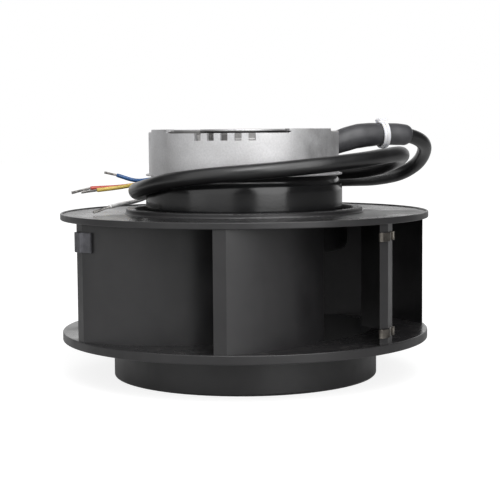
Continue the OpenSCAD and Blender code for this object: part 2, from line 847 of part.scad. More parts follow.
// The front of the rim is a little lower, with a ramp at each side
module front_rim_cut() {
    low_z = rim_z - front_rim_drop;
    left = -housing_r * sin(front_rim_left);
    right = housing_r * sin(front_rim_right);
    rotate([90, 0, 0]) linear_extrude(big)
        polygon([[left - front_rim_ramp, rim_z + fit], [left, low_z],
            [right, low_z], [right + front_rim_ramp, rim_z + fit]]);
}

// Walls of the wiring chamber, the saddle under the clamp and the ears of the lid
module chamber_walls() {
    outward_box(platform_r - 1, saddle_r + 1, lid_w, deck_z - 5, lid_z);
    outward_box(saddle_r, housing_r - 1, clamp_w, cable_exit_z - sleeve_r - 3, saddle_z);
    for (side = [-1, 1]) translate([lid_ear_x, side * lid_ear_y, 0]) post(lid_ear_r, deck_z, lid_z);
}

// Hollow of the chamber and the way of the sleeve out through the wall
module chamber_hollow() {
    outward_box(chamber_r, saddle_r, chamber_w, lip_z + lip_h, big);
    translate([saddle_r - 1, 0, cable_exit_z]) rotate([0, 90, 0]) cylinder(r = sleeve_bore_r, h = big);
    outward_box(saddle_r - 1, big, 2 * sleeve_bore_r, cable_exit_z, big);
}

module motor_housing() {
    color("#c4c6c8") difference() {
        union() {
            rotate_extrude() housing_profile();
            for (pad = rim_pads) rim_pad(pad[0], pad[1]);
            for (a = [67.5 : 45 : 337.5]) rotate(a)
                outward_box(platform_r - 1, housing_bore_r + 1, 2.4, deck_z, deck_top_z + 3.4);
            around(post_circle_r, post_angles) post(post_r, board_top_z, deck_z + 1);
            rotate(cable_angle) chamber_walls();
        }
        drain_slots();
        front_rim_cut();
        rotate(cable_angle) chamber_hollow();
        around(bolt_circle_r, spread(4, 45)) post(bolt_hole_d / 2, platform_z - bolt_hole_depth, big);
        around(post_circle_r, post_angles) post(screw_d / 2, 0, board_top_z + board_screw_bite);
        at_cap_screws() flat_screw_hole(cap_t + cap_screw_bite);
        rotate(cable_angle) {
            at_clamp_screws() flat_screw_hole(clamp_h() + clamp_screw_bite);
            at_cover_screws() flat_screw_hole(lid_t + lid_screw_bite);
        }
    }
}

// Thickness of the clamp over the saddle
function clamp_h() = platform_z - saddle_z;

module at_cap_screws() {
    around((bearing_r + cap_d / 2) / 2, spread(3, 60)) translate([0, 0, platform_z]) children();
}

module at_clamp_screws() {
    for (side = [-1, 1]) translate([(clamp_r1 + clamp_r2) / 2, side * clamp_screw_y, platform_z])
        children();
}

module at_cover_screws() {
    for (side = [-1, 1]) translate([lid_ear_x, side * lid_ear_y, platform_z]) children();
}

module bearing_cap() {
    color("#b9bcbf") difference() {
        rotate_extrude() {
            band(0, cap_d / 2, platform_z - cap_t, platform_z);
            band(0, bearing_r, platform_z - cap_t - 2, platform_z);
        }
        at_cap_screws() flat_screw_hole(cap_t + cap_screw_bite);
        post(shaft_r + 2, 0, platform_z - cap_t);
    }
}

module cap_screws() {
    color("#8f9296") at_cap_screws() recessed_screw(cap_t + cap_screw_bite);
}

module wiring_cover() {
    color("#b4b7ba") rotate(cable_angle) difference() {
        union() {
            outward_box(platform_r + fit, saddle_r, lid_w, lid_z, platform_z);
            for (side = [-1, 1]) translate([lid_ear_x, side * lid_ear_y, 0])
                post(lid_ear_r, lid_z, platform_z);
        }
        at_cover_screws() flat_screw_hole(lid_t + lid_screw_bite);
        rotate(-cable_angle) post(platform_r + fit, 0, big);
    }
}

module cover_screws() {
    color("#8f9296") rotate(cable_angle) at_cover_screws()
        recessed_screw(lid_t + lid_screw_bite);
}

module cable_clamp() {
    color("#3a3c40") rotate(cable_angle) difference() {
        outward_box(clamp_r1, clamp_r2, clamp_w, saddle_z, platform_z);
        translate([0, 0, cable_exit_z]) rotate([0, 90, 0]) cylinder(r = sleeve_bore_r, h = big);
        at_clamp_screws() flat_screw_hole(clamp_h() + clamp_screw_bite);
    }
}

module clamp_screws() {
    color("#8f9296") rotate(cable_angle) at_clamp_screws()
        recessed_screw(clamp_h() + clamp_screw_bite);
}

// --- Lead ---

function unit(v) = v / norm(v);

// Direction of a route at one of its points
function heading(route, i) =
    unit(route[min(i + 1, len(route) - 1)] - route[max(i - 1, 0)]);

// Ring of points round a route at one of its points
function ring(route, i, r, sides) =
    let (h = heading(route, i), a = unit(cross(h, [0, 0, 1])), b = cross(h, a))
    [for (k = [0:sides - 1]) route[i] + r * (cos(360 * k / sides) * a + sin(360 * k / sides) * b)];

// Two triangles between corners k of two rings that start at these point numbers
function wall(near, far, k, sides) =
    let (n = (k + 1) % sides)
    [[near + k, far + k, far + n], [near + k, far + n, near + n]];

// Round tube along part of a route
module cord(route, first, last, d, sides) {
    points = [for (i = [first:last]) each ring(route, i, d / 2, sides)];
    end = (last - first) * sides;
    polyhedron(points, concat(
        [[for (k = [0:sides - 1]) k]],
        [for (i = [0:last - first - 1], k = [0:sides - 1]) each wall(i * sides, (i + 1) * sides, k, sides)],
        [[for (k = [sides - 1:-1:0]) end + k]]));
}

// Tube with a bore that fits the cord on the same route
module sheath(route, first, last, d, bore, sides) {
    outer = [for (i = [first:last]) each ring(route, i, d / 2, sides)];
    inner = [for (i = [first:last]) each ring(route, i, bore / 2, sides)];
    end = (last - first) * sides;
    n = len(outer);
    polyhedron(concat(outer, inner), concat(
        [for (k = [0:sides - 1]) each wall(n, 0, k, sides)],
        [for (i = [0:last - first - 1], k = [0:sides - 1]) each wall(i * sides, (i + 1) * sides, k, sides)],
        [for (i = [0:last - first - 1], k = [0:sides - 1])
            each wall(n + (i + 1) * sides, n + i * sides, k, sides)],
        [for (k = [0:sides - 1]) each wall(end, n + end, k, sides)]));
}

module supply_cable() {
    color("#26262a") cord(cable_route, 0, len(cable_route) - 1, cable_d, lead_sides);
}

module cable_sleeve() {
    color("#3b3b40") sheath(cable_route, 0, sleeve_last, sleeve_d, cable_d, lead_sides);
}

// Nylon tie round the sleeve, with its head on top
module cable_tie() {
    run = cable_route[3] - cable_route[2];
    h = run / norm(run);
    centre = cable_route[3] - 3 * h;
    inner_r = sleeve_r + 0.1;
    color("#f2f1ea") translate(centre) rotate([0, 90 - asin(h[2]), atan2(h[1], h[0])]) difference() {
        union() {
            cylinder(r = inner_r + tie_t, h = tie_w, center = true);
            translate([-inner_r - tie_head_h, -3, -tie_w / 2 - 1]) cube([tie_head_h + 1, 6, tie_w + 2]);
        }
        cylinder(r = inner_r, h = big, center = true);
    }
}

module wire(route, tint) {
    color(tint) cord(route, 0, len(route) - 2, wire_d, wire_sides);
}

module blue_wire() {
    wire(blue_route, "#3d7fd0");
}

module yellow_wire() {
    wire(yellow_route, "#e6c93a");
}

module red_wire() {
    wire(red_route, "#d8402f");
}

module white_wire() {
    wire(white_route, "#f0efec");
}

module bare_wire_ends() {
    color("#9a8f84") for (route = [blue_route, yellow_route, red_route, white_route])
        cord(route, len(route) - 2, len(route) - 1, wire_core_d, wire_sides);
}

inlet_shroud();
impeller_disc();
blade(1);  // blade_1
blade(2);  // blade_2
blade(3);  // blade_3
blade(4);  // blade_4
blade(5);  // blade_5
blade(6);  // blade_6
blade(7);  // blade_7
balance_clip(7, disc_z - big_clip_drop, big_clip_h, big_clip_reach, "#46484d");  // balance_clip_1
balance_clip(2, disc_z - small_clip_drop, small_clip_h, small_clip_reach, "#a9a49c");  // balance_clip_2
balance_clip(2, shroud_z + small_clip_rise, small_clip_h, small_clip_reach, "#a9a49c");  // balance_clip_3
rotor_cup();
magnet_segments();
shaft_bush();
motor_shaft();
shaft_circlip();
hub_screws();
bearing_inner(lower_bearing_z);  // lower_bearing_inner
bearing_outer(lower_bearing_z);  // lower_bearing_outer
bearing_balls(lower_bearing_z);  // lower_bearing_balls
bearing_inner(upper_bearing_z);  // upper_bearing_inner
bearing_outer(upper_bearing_z);  // upper_bearing_outer
bearing_balls(upper_bearing_z);  // upper_bearing_balls
preload_spring();
stator_core();
lower_bobbin();
upper_bobbin();
stator_coils();
stator_cover();
phase_pins();
circuit_board();
capacitors();
power_transistors();
hall_sensors();
wire_header();
board_leads();
board_screws();
motor_housing();
bearing_cap();
cap_screws();
wiring_cover();
cover_screws();
cable_clamp();
clamp_screws();
cable_sleeve();
cable_tie();
supply_cable();
blue_wire();
yellow_wire();
red_wire();
white_wire();
bare_wire_ends();
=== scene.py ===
import json
import math

import bmesh
import bpy
from mathutils import Matrix, Vector


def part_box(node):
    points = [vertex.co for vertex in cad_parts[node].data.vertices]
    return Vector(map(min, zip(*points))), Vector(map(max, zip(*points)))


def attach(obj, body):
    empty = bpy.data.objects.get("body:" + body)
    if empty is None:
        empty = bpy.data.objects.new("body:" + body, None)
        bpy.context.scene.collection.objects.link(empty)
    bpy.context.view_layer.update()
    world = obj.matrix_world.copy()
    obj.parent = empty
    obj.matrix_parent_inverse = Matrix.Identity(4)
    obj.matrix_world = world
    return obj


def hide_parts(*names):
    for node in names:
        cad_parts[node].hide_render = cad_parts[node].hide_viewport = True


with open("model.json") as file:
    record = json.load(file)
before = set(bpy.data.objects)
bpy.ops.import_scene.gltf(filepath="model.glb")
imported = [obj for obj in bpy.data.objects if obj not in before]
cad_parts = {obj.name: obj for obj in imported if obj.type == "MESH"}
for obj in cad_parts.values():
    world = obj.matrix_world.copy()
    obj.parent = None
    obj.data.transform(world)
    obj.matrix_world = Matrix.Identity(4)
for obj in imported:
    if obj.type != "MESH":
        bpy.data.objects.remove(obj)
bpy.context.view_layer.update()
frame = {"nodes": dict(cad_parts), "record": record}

MM = 0.001
TURN = 2 * math.pi

# Sizes that the pieces share with the solids, in millimetres
LEAD_D = 9.2
SLEEVE_D = 14.6
WIRE_D = 2.6
CORE_D = 1.6
HOUSING_BORE_R = 54.7
RIM_STEP_Z = 149.5
ROTOR_WALL = 2.5
BUSH_R = 8
BLADE_CURVE_R = 93.5
BLADE_T = 3
BLADE_TIP_R = 111.3
BLADE_OUTLET = 24.5
BLADE_COUNT = 7
FIRST_BLADE = -97

# The rotor cup: radius of its lower corner, height and depth of the rolled edge, and its bend
ROTOR_CORNER_R = 2
ROLL_H = 9.5
ROLL_IN = 3.7
ROLL_BEND = 2.6

# The shrunk sleeve: its length inside the housing, then how it swells, tapers and draws in
SLEEVE_HIDDEN = 22
SLEEVE_BELLY = 0.45
SLEEVE_TAPER = 0.5
SLEEVE_END = 3
SLEEVE_DRAW = 1.3

# The cable tie: strap, head and cut tail, each as (along the sleeve, across, high)
TIE_W = 4.2
TIE_T = 1.3
TIE_GAP = 0.1
TIE_SETBACK = 3
TIE_TEETH = 46
TIE_HEAD = (6.2, 6, 3.2)
TIE_HEAD_LIFT = 1.2
TIE_TAIL = (TIE_W, 2.6, 1.1)
TIE_TAIL_OUT = 4
TIE_TAIL_LIFT = 1.6

# The twisted strands of a bare wire end
STRAND_R = 0.23
STRAND_HIDDEN = 0.6

# The balance clips: sheet, rolled edge, bulge over the blade's tip and rounded free corners
CLIP_T = 0.7
CLIP_ROLL_R = 0.75
CLIP_BULGE = 1.1
CLIP_CORNER = 1.3
CLIP_EDGE = 0.18
# Clip number, blade that carries it, length of its legs, finish
CLIPS = [(1, 7, 2.7, "spring_steel"), (2, 2, 3.5, "clip_steel"), (3, 2, 3.5, "clip_steel")]

# Route of the lead's axis, in millimetres
LEAD_ROUTE = [
    (37.963, 13.817, 141), (54.7, 19.9, 141), (72, 26.2, 145.4), (91.2, 33, 146.6),
    (105.5, 38.2, 145.6), (115, 46.5, 142), (119, 60, 136), (116, 74, 127), (106, 83, 120),
    (90, 86, 116.6), (73, 86, 116), (55, 87, 115.8), (37, 89, 115.4), (19, 90, 115), (1, 89, 114.4),
    (-17, 85, 113.5), (-33, 77, 112.5), (-47, 65, 111.4), (-58, 50, 110.7), (-65, 33, 110.6),
    (-67, 16, 111.4), (-66.5, -1, 113), (-64.5, -17, 114.2), (-58.5, -33, 116.4),
    (-47.5, -48, 119.8), (-31, -60, 122.6), (-13, -66.5, 124.6), (5, -68, 126), (23, -65.5, 127.4),
    (41, -60, 129), (57, -51.5, 130.6), (72, -41, 132.2), (84, -28, 133.8), (94.5, -12, 134.6),
    (97.5, 5, 132.8), (95, 22, 129.2), (87.5, 37, 125.2), (75.5, 51.5, 122.4), (58, 63, 121.2),
    (41, 70.5, 120.4), (23, 74, 120), (4, 75, 120), (-14, 75, 120)]
SLEEVE_LAST = 4
# Routes of the wires' axes, each with the end of its bare strands last
WIRE_ROUTES = {
    "blue": [(-14, 76.4, 121.4), (-26, 76.4, 121.4), (-42, 75, 121), (-58, 68, 118.6),
             (-71, 61, 117.3), (-84, 60, 121), (-92, 60, 122.8)],
    "yellow": [(-14, 73.6, 121.4), (-26, 73.6, 121.4), (-41, 70, 121), (-55, 60, 118.6),
               (-68, 49, 115.6), (-81, 42, 113.5), (-95, 40, 111.9), (-105, 40, 110.6)],
    "red": [(-14, 73.6, 118.6), (-26, 73.6, 118.6), (-43, 70, 118.4), (-62, 61, 116.2),
            (-80, 53, 113.8), (-100, 47, 113), (-112, 45, 110.1)],
    "white": [(-14, 76.4, 118.6), (-26, 76.4, 118.6), (-40, 80.5, 119), (-54, 76, 112),
              (-64, 61, 106.4), (-70, 42, 104.6), (-76, 15, 104.4), (-81.5, -16, 104.2),
              (-90.5, -22, 101.2)]}


# --- Camera, floor and light ---

def make_camera():
    """The camera stands in front of the fan, a little above it, and looks slightly down."""
    pitch, pan, roll = 0.08704, 0.00406, math.radians(0.45)
    frame_px, focal_px, sensor = 500, 1338.85, 36
    forward = Vector((math.sin(pan) * math.cos(pitch), math.cos(pan) * math.cos(pitch),
                      -math.sin(pitch)))
    level = Vector((math.cos(pan), -math.sin(pan), 0))
    upright = level.cross(forward)
    right = math.cos(roll) * level - math.sin(roll) * upright
    up = math.cos(roll) * upright + math.sin(roll) * level
    data = bpy.data.cameras.new("camera")
    data.sensor_width = sensor
    data.lens = focal_px / frame_px * sensor
    data.clip_start = 0.05
    data.clip_end = 20
    camera = bpy.data.objects.new("camera", data)
    bpy.context.collection.objects.link(camera)
    turned = Matrix((right, up, -forward)).transposed().to_4x4()
    camera.matrix_world = Matrix.Translation((0, -0.82436, 0.14785)) @ turned
    bpy.context.scene.camera = camera


def area_light(name, azimuth, elevation, distance, width, height, radiance):
    """A soft box that faces the fan. Azimuth 0 is in front of it and 90 is to its right."""
    a, e = math.radians(azimuth), math.radians(elevation)
    away = Vector((math.sin(a) * math.cos(e), -math.cos(a) * math.cos(e), math.sin(e)))
    fan_middle = Vector((0, 0, 0.09))
    data = bpy.data.lights.new(name, "AREA")
    data.shape = "RECTANGLE"
    data.size = width
    data.size_y = height
    data.energy = radiance * math.pi * width * height
    lamp = bpy.data.objects.new(name, data)
    bpy.context.collection.objects.link(lamp)
    lamp.location = fan_middle + away * distance
    lamp.rotation_mode = "QUATERNION"
    lamp.rotation_quaternion = away.to_track_quat("Z", "Y")
    lamp.visible_camera = False


def make_lights():
    """Two tall soft boxes with a gap between them, a small one above the gap and one overhead."""
    area_light("left_box", -38, 36, 1.4, 1.7, 2.3, 0.95)
    area_light("right_box", 31, 36, 1.4, 1.05, 2.3, 2.7)
    area_light("front_box", 0, 44, 1.3, 0.5, 0.5, 4.5)
    area_light("top_box", 0, 86, 1.3, 1.2, 0.9, 0.4)


def calculated(tree, operation, *values):
    """Output of a Math node on sockets and numbers."""
    made = tree.nodes.new("ShaderNodeMath")
    made.operation = operation
    for socket, value in zip(made.inputs, values):
        if isinstance(value, (int, float)):
            socket.default_value = value
        else:
            tree.links.new(value, socket)
    return made.outputs[0]


def eased(tree, value, start, end, low, high):
    """Output that goes smoothly from low to high while the value goes from start to end."""
    made = tree.nodes.new("ShaderNodeMapRange")
    made.interpolation_type = "SMOOTHSTEP"
    tree.links.new(value, made.inputs["Value"])
    for name, number in (("From Min", start), ("From Max", end), ("To Min", low), ("To Max", high)):
        made.inputs[name].default_value = number
    return made.outputs["Result"]


def backdrop(tree, strength):
    """White background shader of this strength, which is a number or a socket."""
    made = tree.nodes.new("ShaderNodeBackground")
    made.inputs["Color"].default_value = (1, 1, 1, 1)
    if isinstance(strength, (int, float)):
        made.inputs["Strength"].default_value = strength
    else:
        tree.links.new(strength, made.inputs["Strength"])
    return made.outputs[0]


def either_shader(tree, factor, first, second):
    """The first shader where the factor is 0 and the second where it is 1."""
    made = tree.nodes.new("ShaderNodeMixShader")
    tree.links.new(factor, made.inputs["Fac"])
    tree.links.new(first, made.inputs[1])
    tree.links.new(second, made.inputs[2])
    return made.outputs[0]


def make_world():
    """White to the eye, dim as a light, and mirrored white behind the fan only."""
    world = bpy.data.worlds.new("studio")
    bpy.context.scene.world = world
    world.use_nodes = True
    tree = world.node_tree
    tree.nodes.clear()
    path = tree.nodes.new("ShaderNodeLightPath").outputs
    split = tree.nodes.new("ShaderNodeSeparateXYZ")
    tree.links.new(tree.nodes.new("ShaderNodeTexCoord").outputs["Generated"], split.inputs[0])
    mirrored = backdrop(tree, eased(tree, split.outputs["Y"], 0.55, 0.85, 0.06, 1.0))
    bounced = either_shader(tree, path["Is Glossy Ray"], backdrop(tree, 0.16), mirrored)
    direct = calculated(tree, "MAXIMUM", path["Is Camera Ray"], path["Is Transmission Ray"])
    out = tree.nodes.new("ShaderNodeOutputWorld")
    tree.links.new(either_shader(tree, direct, bounced, backdrop(tree, 1.0)), out.inputs["Surface"])


def floor_finish():
    """Pale floor that glows to the eye and in the fan's gloss, and lights nothing."""
    material = bpy.data.materials.new("pale_floor")
    material.use_nodes = True
    tree = material.node_tree
    tree.nodes.clear()
    diffuse = tree.nodes.new("ShaderNodeBsdfDiffuse")
    diffuse.inputs["Color"].default_value = (0.35, 0.35, 0.35, 1)
    glow = tree.nodes.new("ShaderNodeEmission")
    glow.inputs["Color"].default_value = (1, 1, 1, 1)
    path = tree.nodes.new("ShaderNodeLightPath").outputs
    direct = calculated(tree, "MAXIMUM", path["Is Camera Ray"], path["Is Transmission Ray"])
    place = tree.nodes.new("ShaderNodeTexCoord").outputs["Object"]
    # Mirrored in the fan, the floor is bright on the left and behind, and dim on the right
    split = tree.nodes.new("ShaderNodeSeparateXYZ")
    tree.links.new(place, split.inputs[0])
    across = calculated(tree, "SUBTRACT", split.outputs["Y"], split.outputs["X"])
    mirrored = calculated(tree, "MULTIPLY", path["Is Glossy Ray"],
                          eased(tree, across, -0.35, 0.35, 0.08, 0.36))
    # Seen directly, it is a little dimmer round the fan, where the lamps and the shadow show
    away = tree.nodes.new("ShaderNodeVectorMath")
    away.operation = "LENGTH"
    tree.links.new(place, away.inputs[0])
    near = eased(tree, away.outputs["Value"], 0.15, 0.6, 0.84, 1.0)
    tree.links.new(calculated(tree, "MULTIPLY_ADD", direct, near, mirrored), glow.inputs["Strength"])
    both = tree.nodes.new("ShaderNodeAddShader")
    tree.links.new(diffuse.outputs[0], both.inputs[0])
    tree.links.new(glow.outputs[0], both.inputs[1])
    out = tree.nodes.new("ShaderNodeOutputMaterial")
    tree.links.new(both.outputs[0], out.inputs["Surface"])
    return material


def make_floor():
    """A round floor, large enough to pass into the white background."""
    mesh = bpy.data.meshes.new("floor")
    radius, sides, sunk = 6.0, 96, 0.0002
    rim = [(radius * math.cos(TURN * k / sides), radius * math.sin(TURN * k / sides), -sunk)
           for k in range(sides)]
    mesh.from_pydata(rim, [], [list(range(sides))])
    mesh.materials.append(floor_finish())
    floor = bpy.data.objects.new("floor", mesh)
    bpy.context.collection.objects.link(floor)


# --- Finishes ---

class Finish:
    """A node material round one Principled shader, with short calls for what most finishes use."""

    def __init__(self, name, color, roughness, metallic=0.0, specular=0.5, coat=0.0):
        self.material = bpy.data.materials.new(name)
        self.material.use_nodes = True
        self.tree = self.material.node_tree
        self.shader = self.tree.nodes["Principled BSDF"]
        self.set("Base Color", (*color, 1))
        self.set("Roughness", roughness)
        self.set("Metallic", metallic)
        self.set("Specular IOR Level", specular)
        self.set("Coat Weight", coat)
        self.color = color
        self.place = self.node("ShaderNodeTexCoord").outputs["Object"]

    def node(self, kind, **values):
        made = self.tree.nodes.new(kind)
        for name, value in values.items():
            setattr(made, name, value)
        return made

    def link(self, source, target):
        self.tree.links.new(source, target)

    def set(self, name, value):
        self.shader.inputs[name].default_value = value

    def scaled(self, x, y, z, turn=(0, 0, 0)):
        """Object coordinates stretched by these factors."""
        mapping = self.node("ShaderNodeMapping")
        mapping.inputs["Scale"].default_value = (x, y, z)
        mapping.inputs["Rotation"].default_value = turn
        self.link(self.place, mapping.inputs["Vector"])
        return mapping.outputs["Vector"]

    def noise(self, scale, detail=3.0, vector=None, rough=0.5):
        made = self.node("ShaderNodeTexNoise")
        made.inputs["Scale"].default_value = scale
        made.inputs["Detail"].default_value = detail
        made.inputs["Roughness"].default_value = rough
        self.link(vector or self.place, made.inputs["Vector"])
        return made.outputs["Fac"]

    def span(self, value, low, high, start=0.3, end=0.7):
        """Maps a texture's value to a range of numbers."""
        made = self.node("ShaderNodeMapRange")
        made.inputs["From Min"].default_value = start
        made.inputs["From Max"].default_value = end
        made.inputs["To Min"].default_value = low
        made.inputs["To Max"].default_value = high
        self.link(value, made.inputs["Value"])
        return made.outputs["Result"]

    def sum(self, *values):
        """Output of several outputs added up."""
        total = values[0]
        for value in values[1:]:
            made = self.node("ShaderNodeMath", operation="ADD")
            self.link(total, made.inputs[0])
            self.link(value, made.inputs[1])
            total = made.outputs[0]
        return total

    def times(self, value, factor):
        """Output of a value times a number or another output."""
        made = self.node("ShaderNodeMath", operation="MULTIPLY")
        self.link(value, made.inputs[0])
        if isinstance(factor, (int, float)):
            made.inputs[1].default_value = factor
        else:
            self.link(factor, made.inputs[1])
        return made.outputs[0]

    def mix(self, factor, first, second, blend="MIX"):
        """Colour between two colours or colour outputs."""
        made = self.node("ShaderNodeMix", data_type="RGBA", blend_type=blend)
        if isinstance(factor, (int, float)):
            made.inputs["Factor"].default_value = factor
        else:
            self.link(factor, made.inputs["Factor"])
        for socket, colour in ((made.inputs[6], first), (made.inputs[7], second)):
            if isinstance(colour, tuple):
                socket.default_value = (*colour, 1)
            else:
                self.link(colour, socket)
        return made.outputs[2]

    def paint(self, colour):
        self.link(colour, self.shader.inputs["Base Color"])

    def mottle(self, scale, spread, detail=4.0):
        """Varies the base colour by this share."""
        dark = tuple(c * (1 - spread) for c in self.color)
        pale = tuple(min(1.0, c * (1 + spread)) for c in self.color)
        self.paint(self.mix(self.span(self.noise(scale, detail), 0, 1), dark, pale))

    def polish(self, scale, low, high):
        """Varies the roughness between two values."""
        self.link(self.span(self.noise(scale, 4.0), low, high), self.shader.inputs["Roughness"])

    def apart(self, vector):
        """Outputs X, Y and Z of a vector."""
        made = self.node("ShaderNodeSeparateXYZ")
        self.link(vector, made.inputs[0])
        return made.outputs

    def bump(self, height, depth, strength):
        """Adds relief of this depth in metres on top of what is there."""
        made = self.node("ShaderNodeBump")
        made.inputs["Strength"].default_value = strength
        made.inputs["Distance"].default_value = depth
        self.link(height, made.inputs["Height"])
        previous = self.shader.inputs["Normal"]
        if previous.is_linked:
            self.link(previous.links[0].from_socket, made.inputs["Normal"])
        self.link(made.outputs["Normal"], previous)


def moulded_black():
    """Glass-filled black plastic with a fine grain and faint flow streaks from the hub."""
    f = Finish("moulded_black", (0.014, 0.014, 0.015), 0.42, specular=0.65)
    flow = f.noise(1.0, 5.0, f.scaled(28, 28, 6))
    streaks = f.span(f.sum(flow, f.times(f.noise(140), 0.4)), 0, 1, 0.4, 1.0)
    body = f.mix(streaks, (0.011, 0.011, 0.012), (0.022, 0.021, 0.022))
    # The faces that look up are smoother
    facing = f.apart(f.node("ShaderNodeTexCoord").outputs["Normal"])
    upward = f.span(facing["Z"], 0, 1, 0.85, 0.98)
    grain = f.span(f.noise(55, 4.0), 0.34, 0.50)
    f.link(f.sum(grain, f.times(upward, -0.14)), f.shader.inputs["Roughness"])
    # Pale marks on the top faces, partly dust and handling marks and partly painted glints
    dust_and_painted_glints = f.times(f.span(f.noise(160, 8.0, rough=0.7), 0, 1, 0.52, 0.82), upward)
    f.paint(f.mix(dust_and_painted_glints, body, (0.07, 0.066, 0.063)))
    f.bump(f.noise(1900, 2.0), 0.00004, 0.5)
    f.bump(f.noise(70, 3.0), 0.0004, 0.25)
    return f.material


def satin_paint():
    """Black electro-coat on drawn steel, with a slight orange peel."""
    f = Finish("satin_paint", (0.009, 0.009, 0.0095), 0.25, specular=0.65)
    f.mottle(60, 0.2)
    f.polish(30, 0.15, 0.23)
    f.bump(f.noise(600, 2.0), 0.00005, 0.35)
    return f.material


def die_cast():
    """Pressure-cast aluminium: cold grain, cloudy skin and small dark pores."""
    f = Finish("die_cast", (0.74, 0.74, 0.745), 0.6, metallic=0.93)
    cloud = f.span(f.noise(38, 5.0), 0, 1)
    grain = f.span(f.noise(900, 3.0), 0, 1)
    skin = f.mix(cloud, (0.66, 0.655, 0.66), (0.80, 0.80, 0.81))
    # Painted shade: inside the rim and below its step the skin is painted dark grey for the shade in
    # the housing's hollow, and the outside keeps its bright blasted skin
    place = f.apart(f.place)
    flat = f.node("ShaderNodeCombineXYZ")
    f.link(place["X"], flat.inputs["X"])
    f.link(place["Y"], flat.inputs["Y"])
    radius = f.node("ShaderNodeVectorMath", operation="LENGTH")
    f.link(flat.outputs[0], radius.inputs[0])
    shade_inside_rim = f.span(radius.outputs["Value"], 1, 0,
                    (HOUSING_BORE_R + 0.2) * MM, (HOUSING_BORE_R + 0.6) * MM)
    shade_below_step = f.span(place["Z"], 1, 0, (RIM_STEP_Z - 0.5) * MM, (RIM_STEP_Z + 0.5) * MM)
    skin = f.mix(f.times(shade_inside_rim, shade_below_step), skin, (0.34, 0.335, 0.33))
    pores = f.node("ShaderNodeTexVoronoi", feature="F1")
    pores.inputs["Scale"].default_value = 420
    f.link(f.place, pores.inputs["Vector"])
    pitted = f.span(pores.outputs["Distance"], 1, 0, 0.02, 0.16)
    patch = f.span(f.noise(90, 2.0), 0, 0.7, 0.52, 0.7)
    sparkle = f.mix(1.0, skin, f.mix(grain, (0.90, 0.90, 0.90), (1.0, 1.0, 1.0)), "MULTIPLY")
    f.paint(f.mix(f.times(pitted, patch), sparkle, (0.38, 0.375, 0.37)))
    f.polish(150, 0.48, 0.62)
    f.bump(f.noise(900, 3.0), 0.00016, 0.5)
    f.bump(f.noise(120, 4.0), 0.0003, 0.25)
    return f.material


def turned_metal(name, color, low, high):
    """Ground or drawn metal with fine lines round the axis."""
    line_scale = 1500
    f = Finish(name, color, (low + high) / 2, metallic=1.0)
    lines = f.noise(1.0, 2.0, f.scaled(60, 60, line_scale))
    dark = tuple(c * 0.82 for c in color)
    f.paint(f.mix(f.span(lines, 0, 1), dark, color))
    f.link(f.span(f.noise(1.0, 3.0, f.scaled(90, 90, line_scale / 2)), low, high),
           f.shader.inputs["Roughness"])
    f.bump(lines, 0.00002, 0.4)
    return f.material


def plated(name, color, low, high, tarnished=0.6):
    """Plated or spring metal with cloudy tarnish and tiny scratches."""
    f = Finish(name, color, (low + high) / 2, metallic=1.0)
    tarnish = f.span(f.noise(260, 5.0), 0, 1)
    f.paint(f.mix(tarnish, tuple(c * tarnished for c in color), color))
    f.polish(420, low, high)
    f.bump(f.noise(1.0, 2.0, f.scaled(2600, 500, 500, (0.4, 0.7, 0.2))), 0.00003, 0.4)
    return f.material


def moulded(name, color, low, high):
    """Plain moulded plastic with a fine grain."""
    f = Finish(name, color, (low + high) / 2, specular=0.4)
    f.mottle(120, 0.08)
    f.polish(150, low, high)
    f.bump(f.noise(1400, 2.0), 0.00004, 0.4)
    return f.material


def laminated():
    """Stacked half-millimetre steel sheets."""
    f = Finish("laminated_steel", (0.30, 0.31, 0.33), 0.45, metallic=0.9)
    sheets = f.node("ShaderNodeTexWave", wave_type="BANDS", bands_direction="Z")
    sheets.inputs["Scale"].default_value = 314
    sheets.inputs["Distortion"].default_value = 0.3
    f.link(f.place, sheets.inputs["Vector"])
    f.paint(f.mix(sheets.outputs["Fac"], (0.10, 0.105, 0.12), (0.36, 0.37, 0.39)))
    f.polish(200, 0.35, 0.6)
    f.bump(sheets.outputs["Fac"], 0.0001, 0.6)
    return f.material


def wound_copper():
    """Enamelled wire laid side by side."""
    f = Finish("wound_copper", (0.62, 0.24, 0.09), 0.3, metallic=0.9, coat=0.4)
    turns = f.node("ShaderNodeTexWave", wave_type="RINGS", rings_direction="Z")
    turns.inputs["Scale"].default_value = 260
    turns.inputs["Distortion"].default_value = 0.6
    f.link(f.place, turns.inputs["Vector"])
    f.paint(f.mix(turns.outputs["Fac"], (0.26, 0.08, 0.03), (0.72, 0.30, 0.11)))
    f.polish(300, 0.22, 0.42)
    f.bump(turns.outputs["Fac"], 0.00025, 0.8)
    return f.material


def solder_mask():
    """Green circuit board with tracks under the mask."""
    f = Finish("solder_mask", (0.03, 0.16, 0.07), 0.3, coat=0.3)
    tracks = f.node("ShaderNodeTexBrick")
    tracks.inputs["Scale"].default_value = 260
    tracks.inputs["Mortar Size"].default_value = 0.03
    tracks.inputs["Color1"].default_value = (0.02, 0.12, 0.05, 1)
    tracks.inputs["Color2"].default_value = (0.03, 0.17, 0.08, 1)
    tracks.inputs["Mortar"].default_value = (0.06, 0.26, 0.12, 1)
    f.link(f.place, tracks.inputs["Vector"])
    f.paint(tracks.outputs["Color"])
    f.polish(180, 0.22, 0.38)
    f.bump(tracks.outputs["Fac"], 0.00004, 0.5)
    return f.material


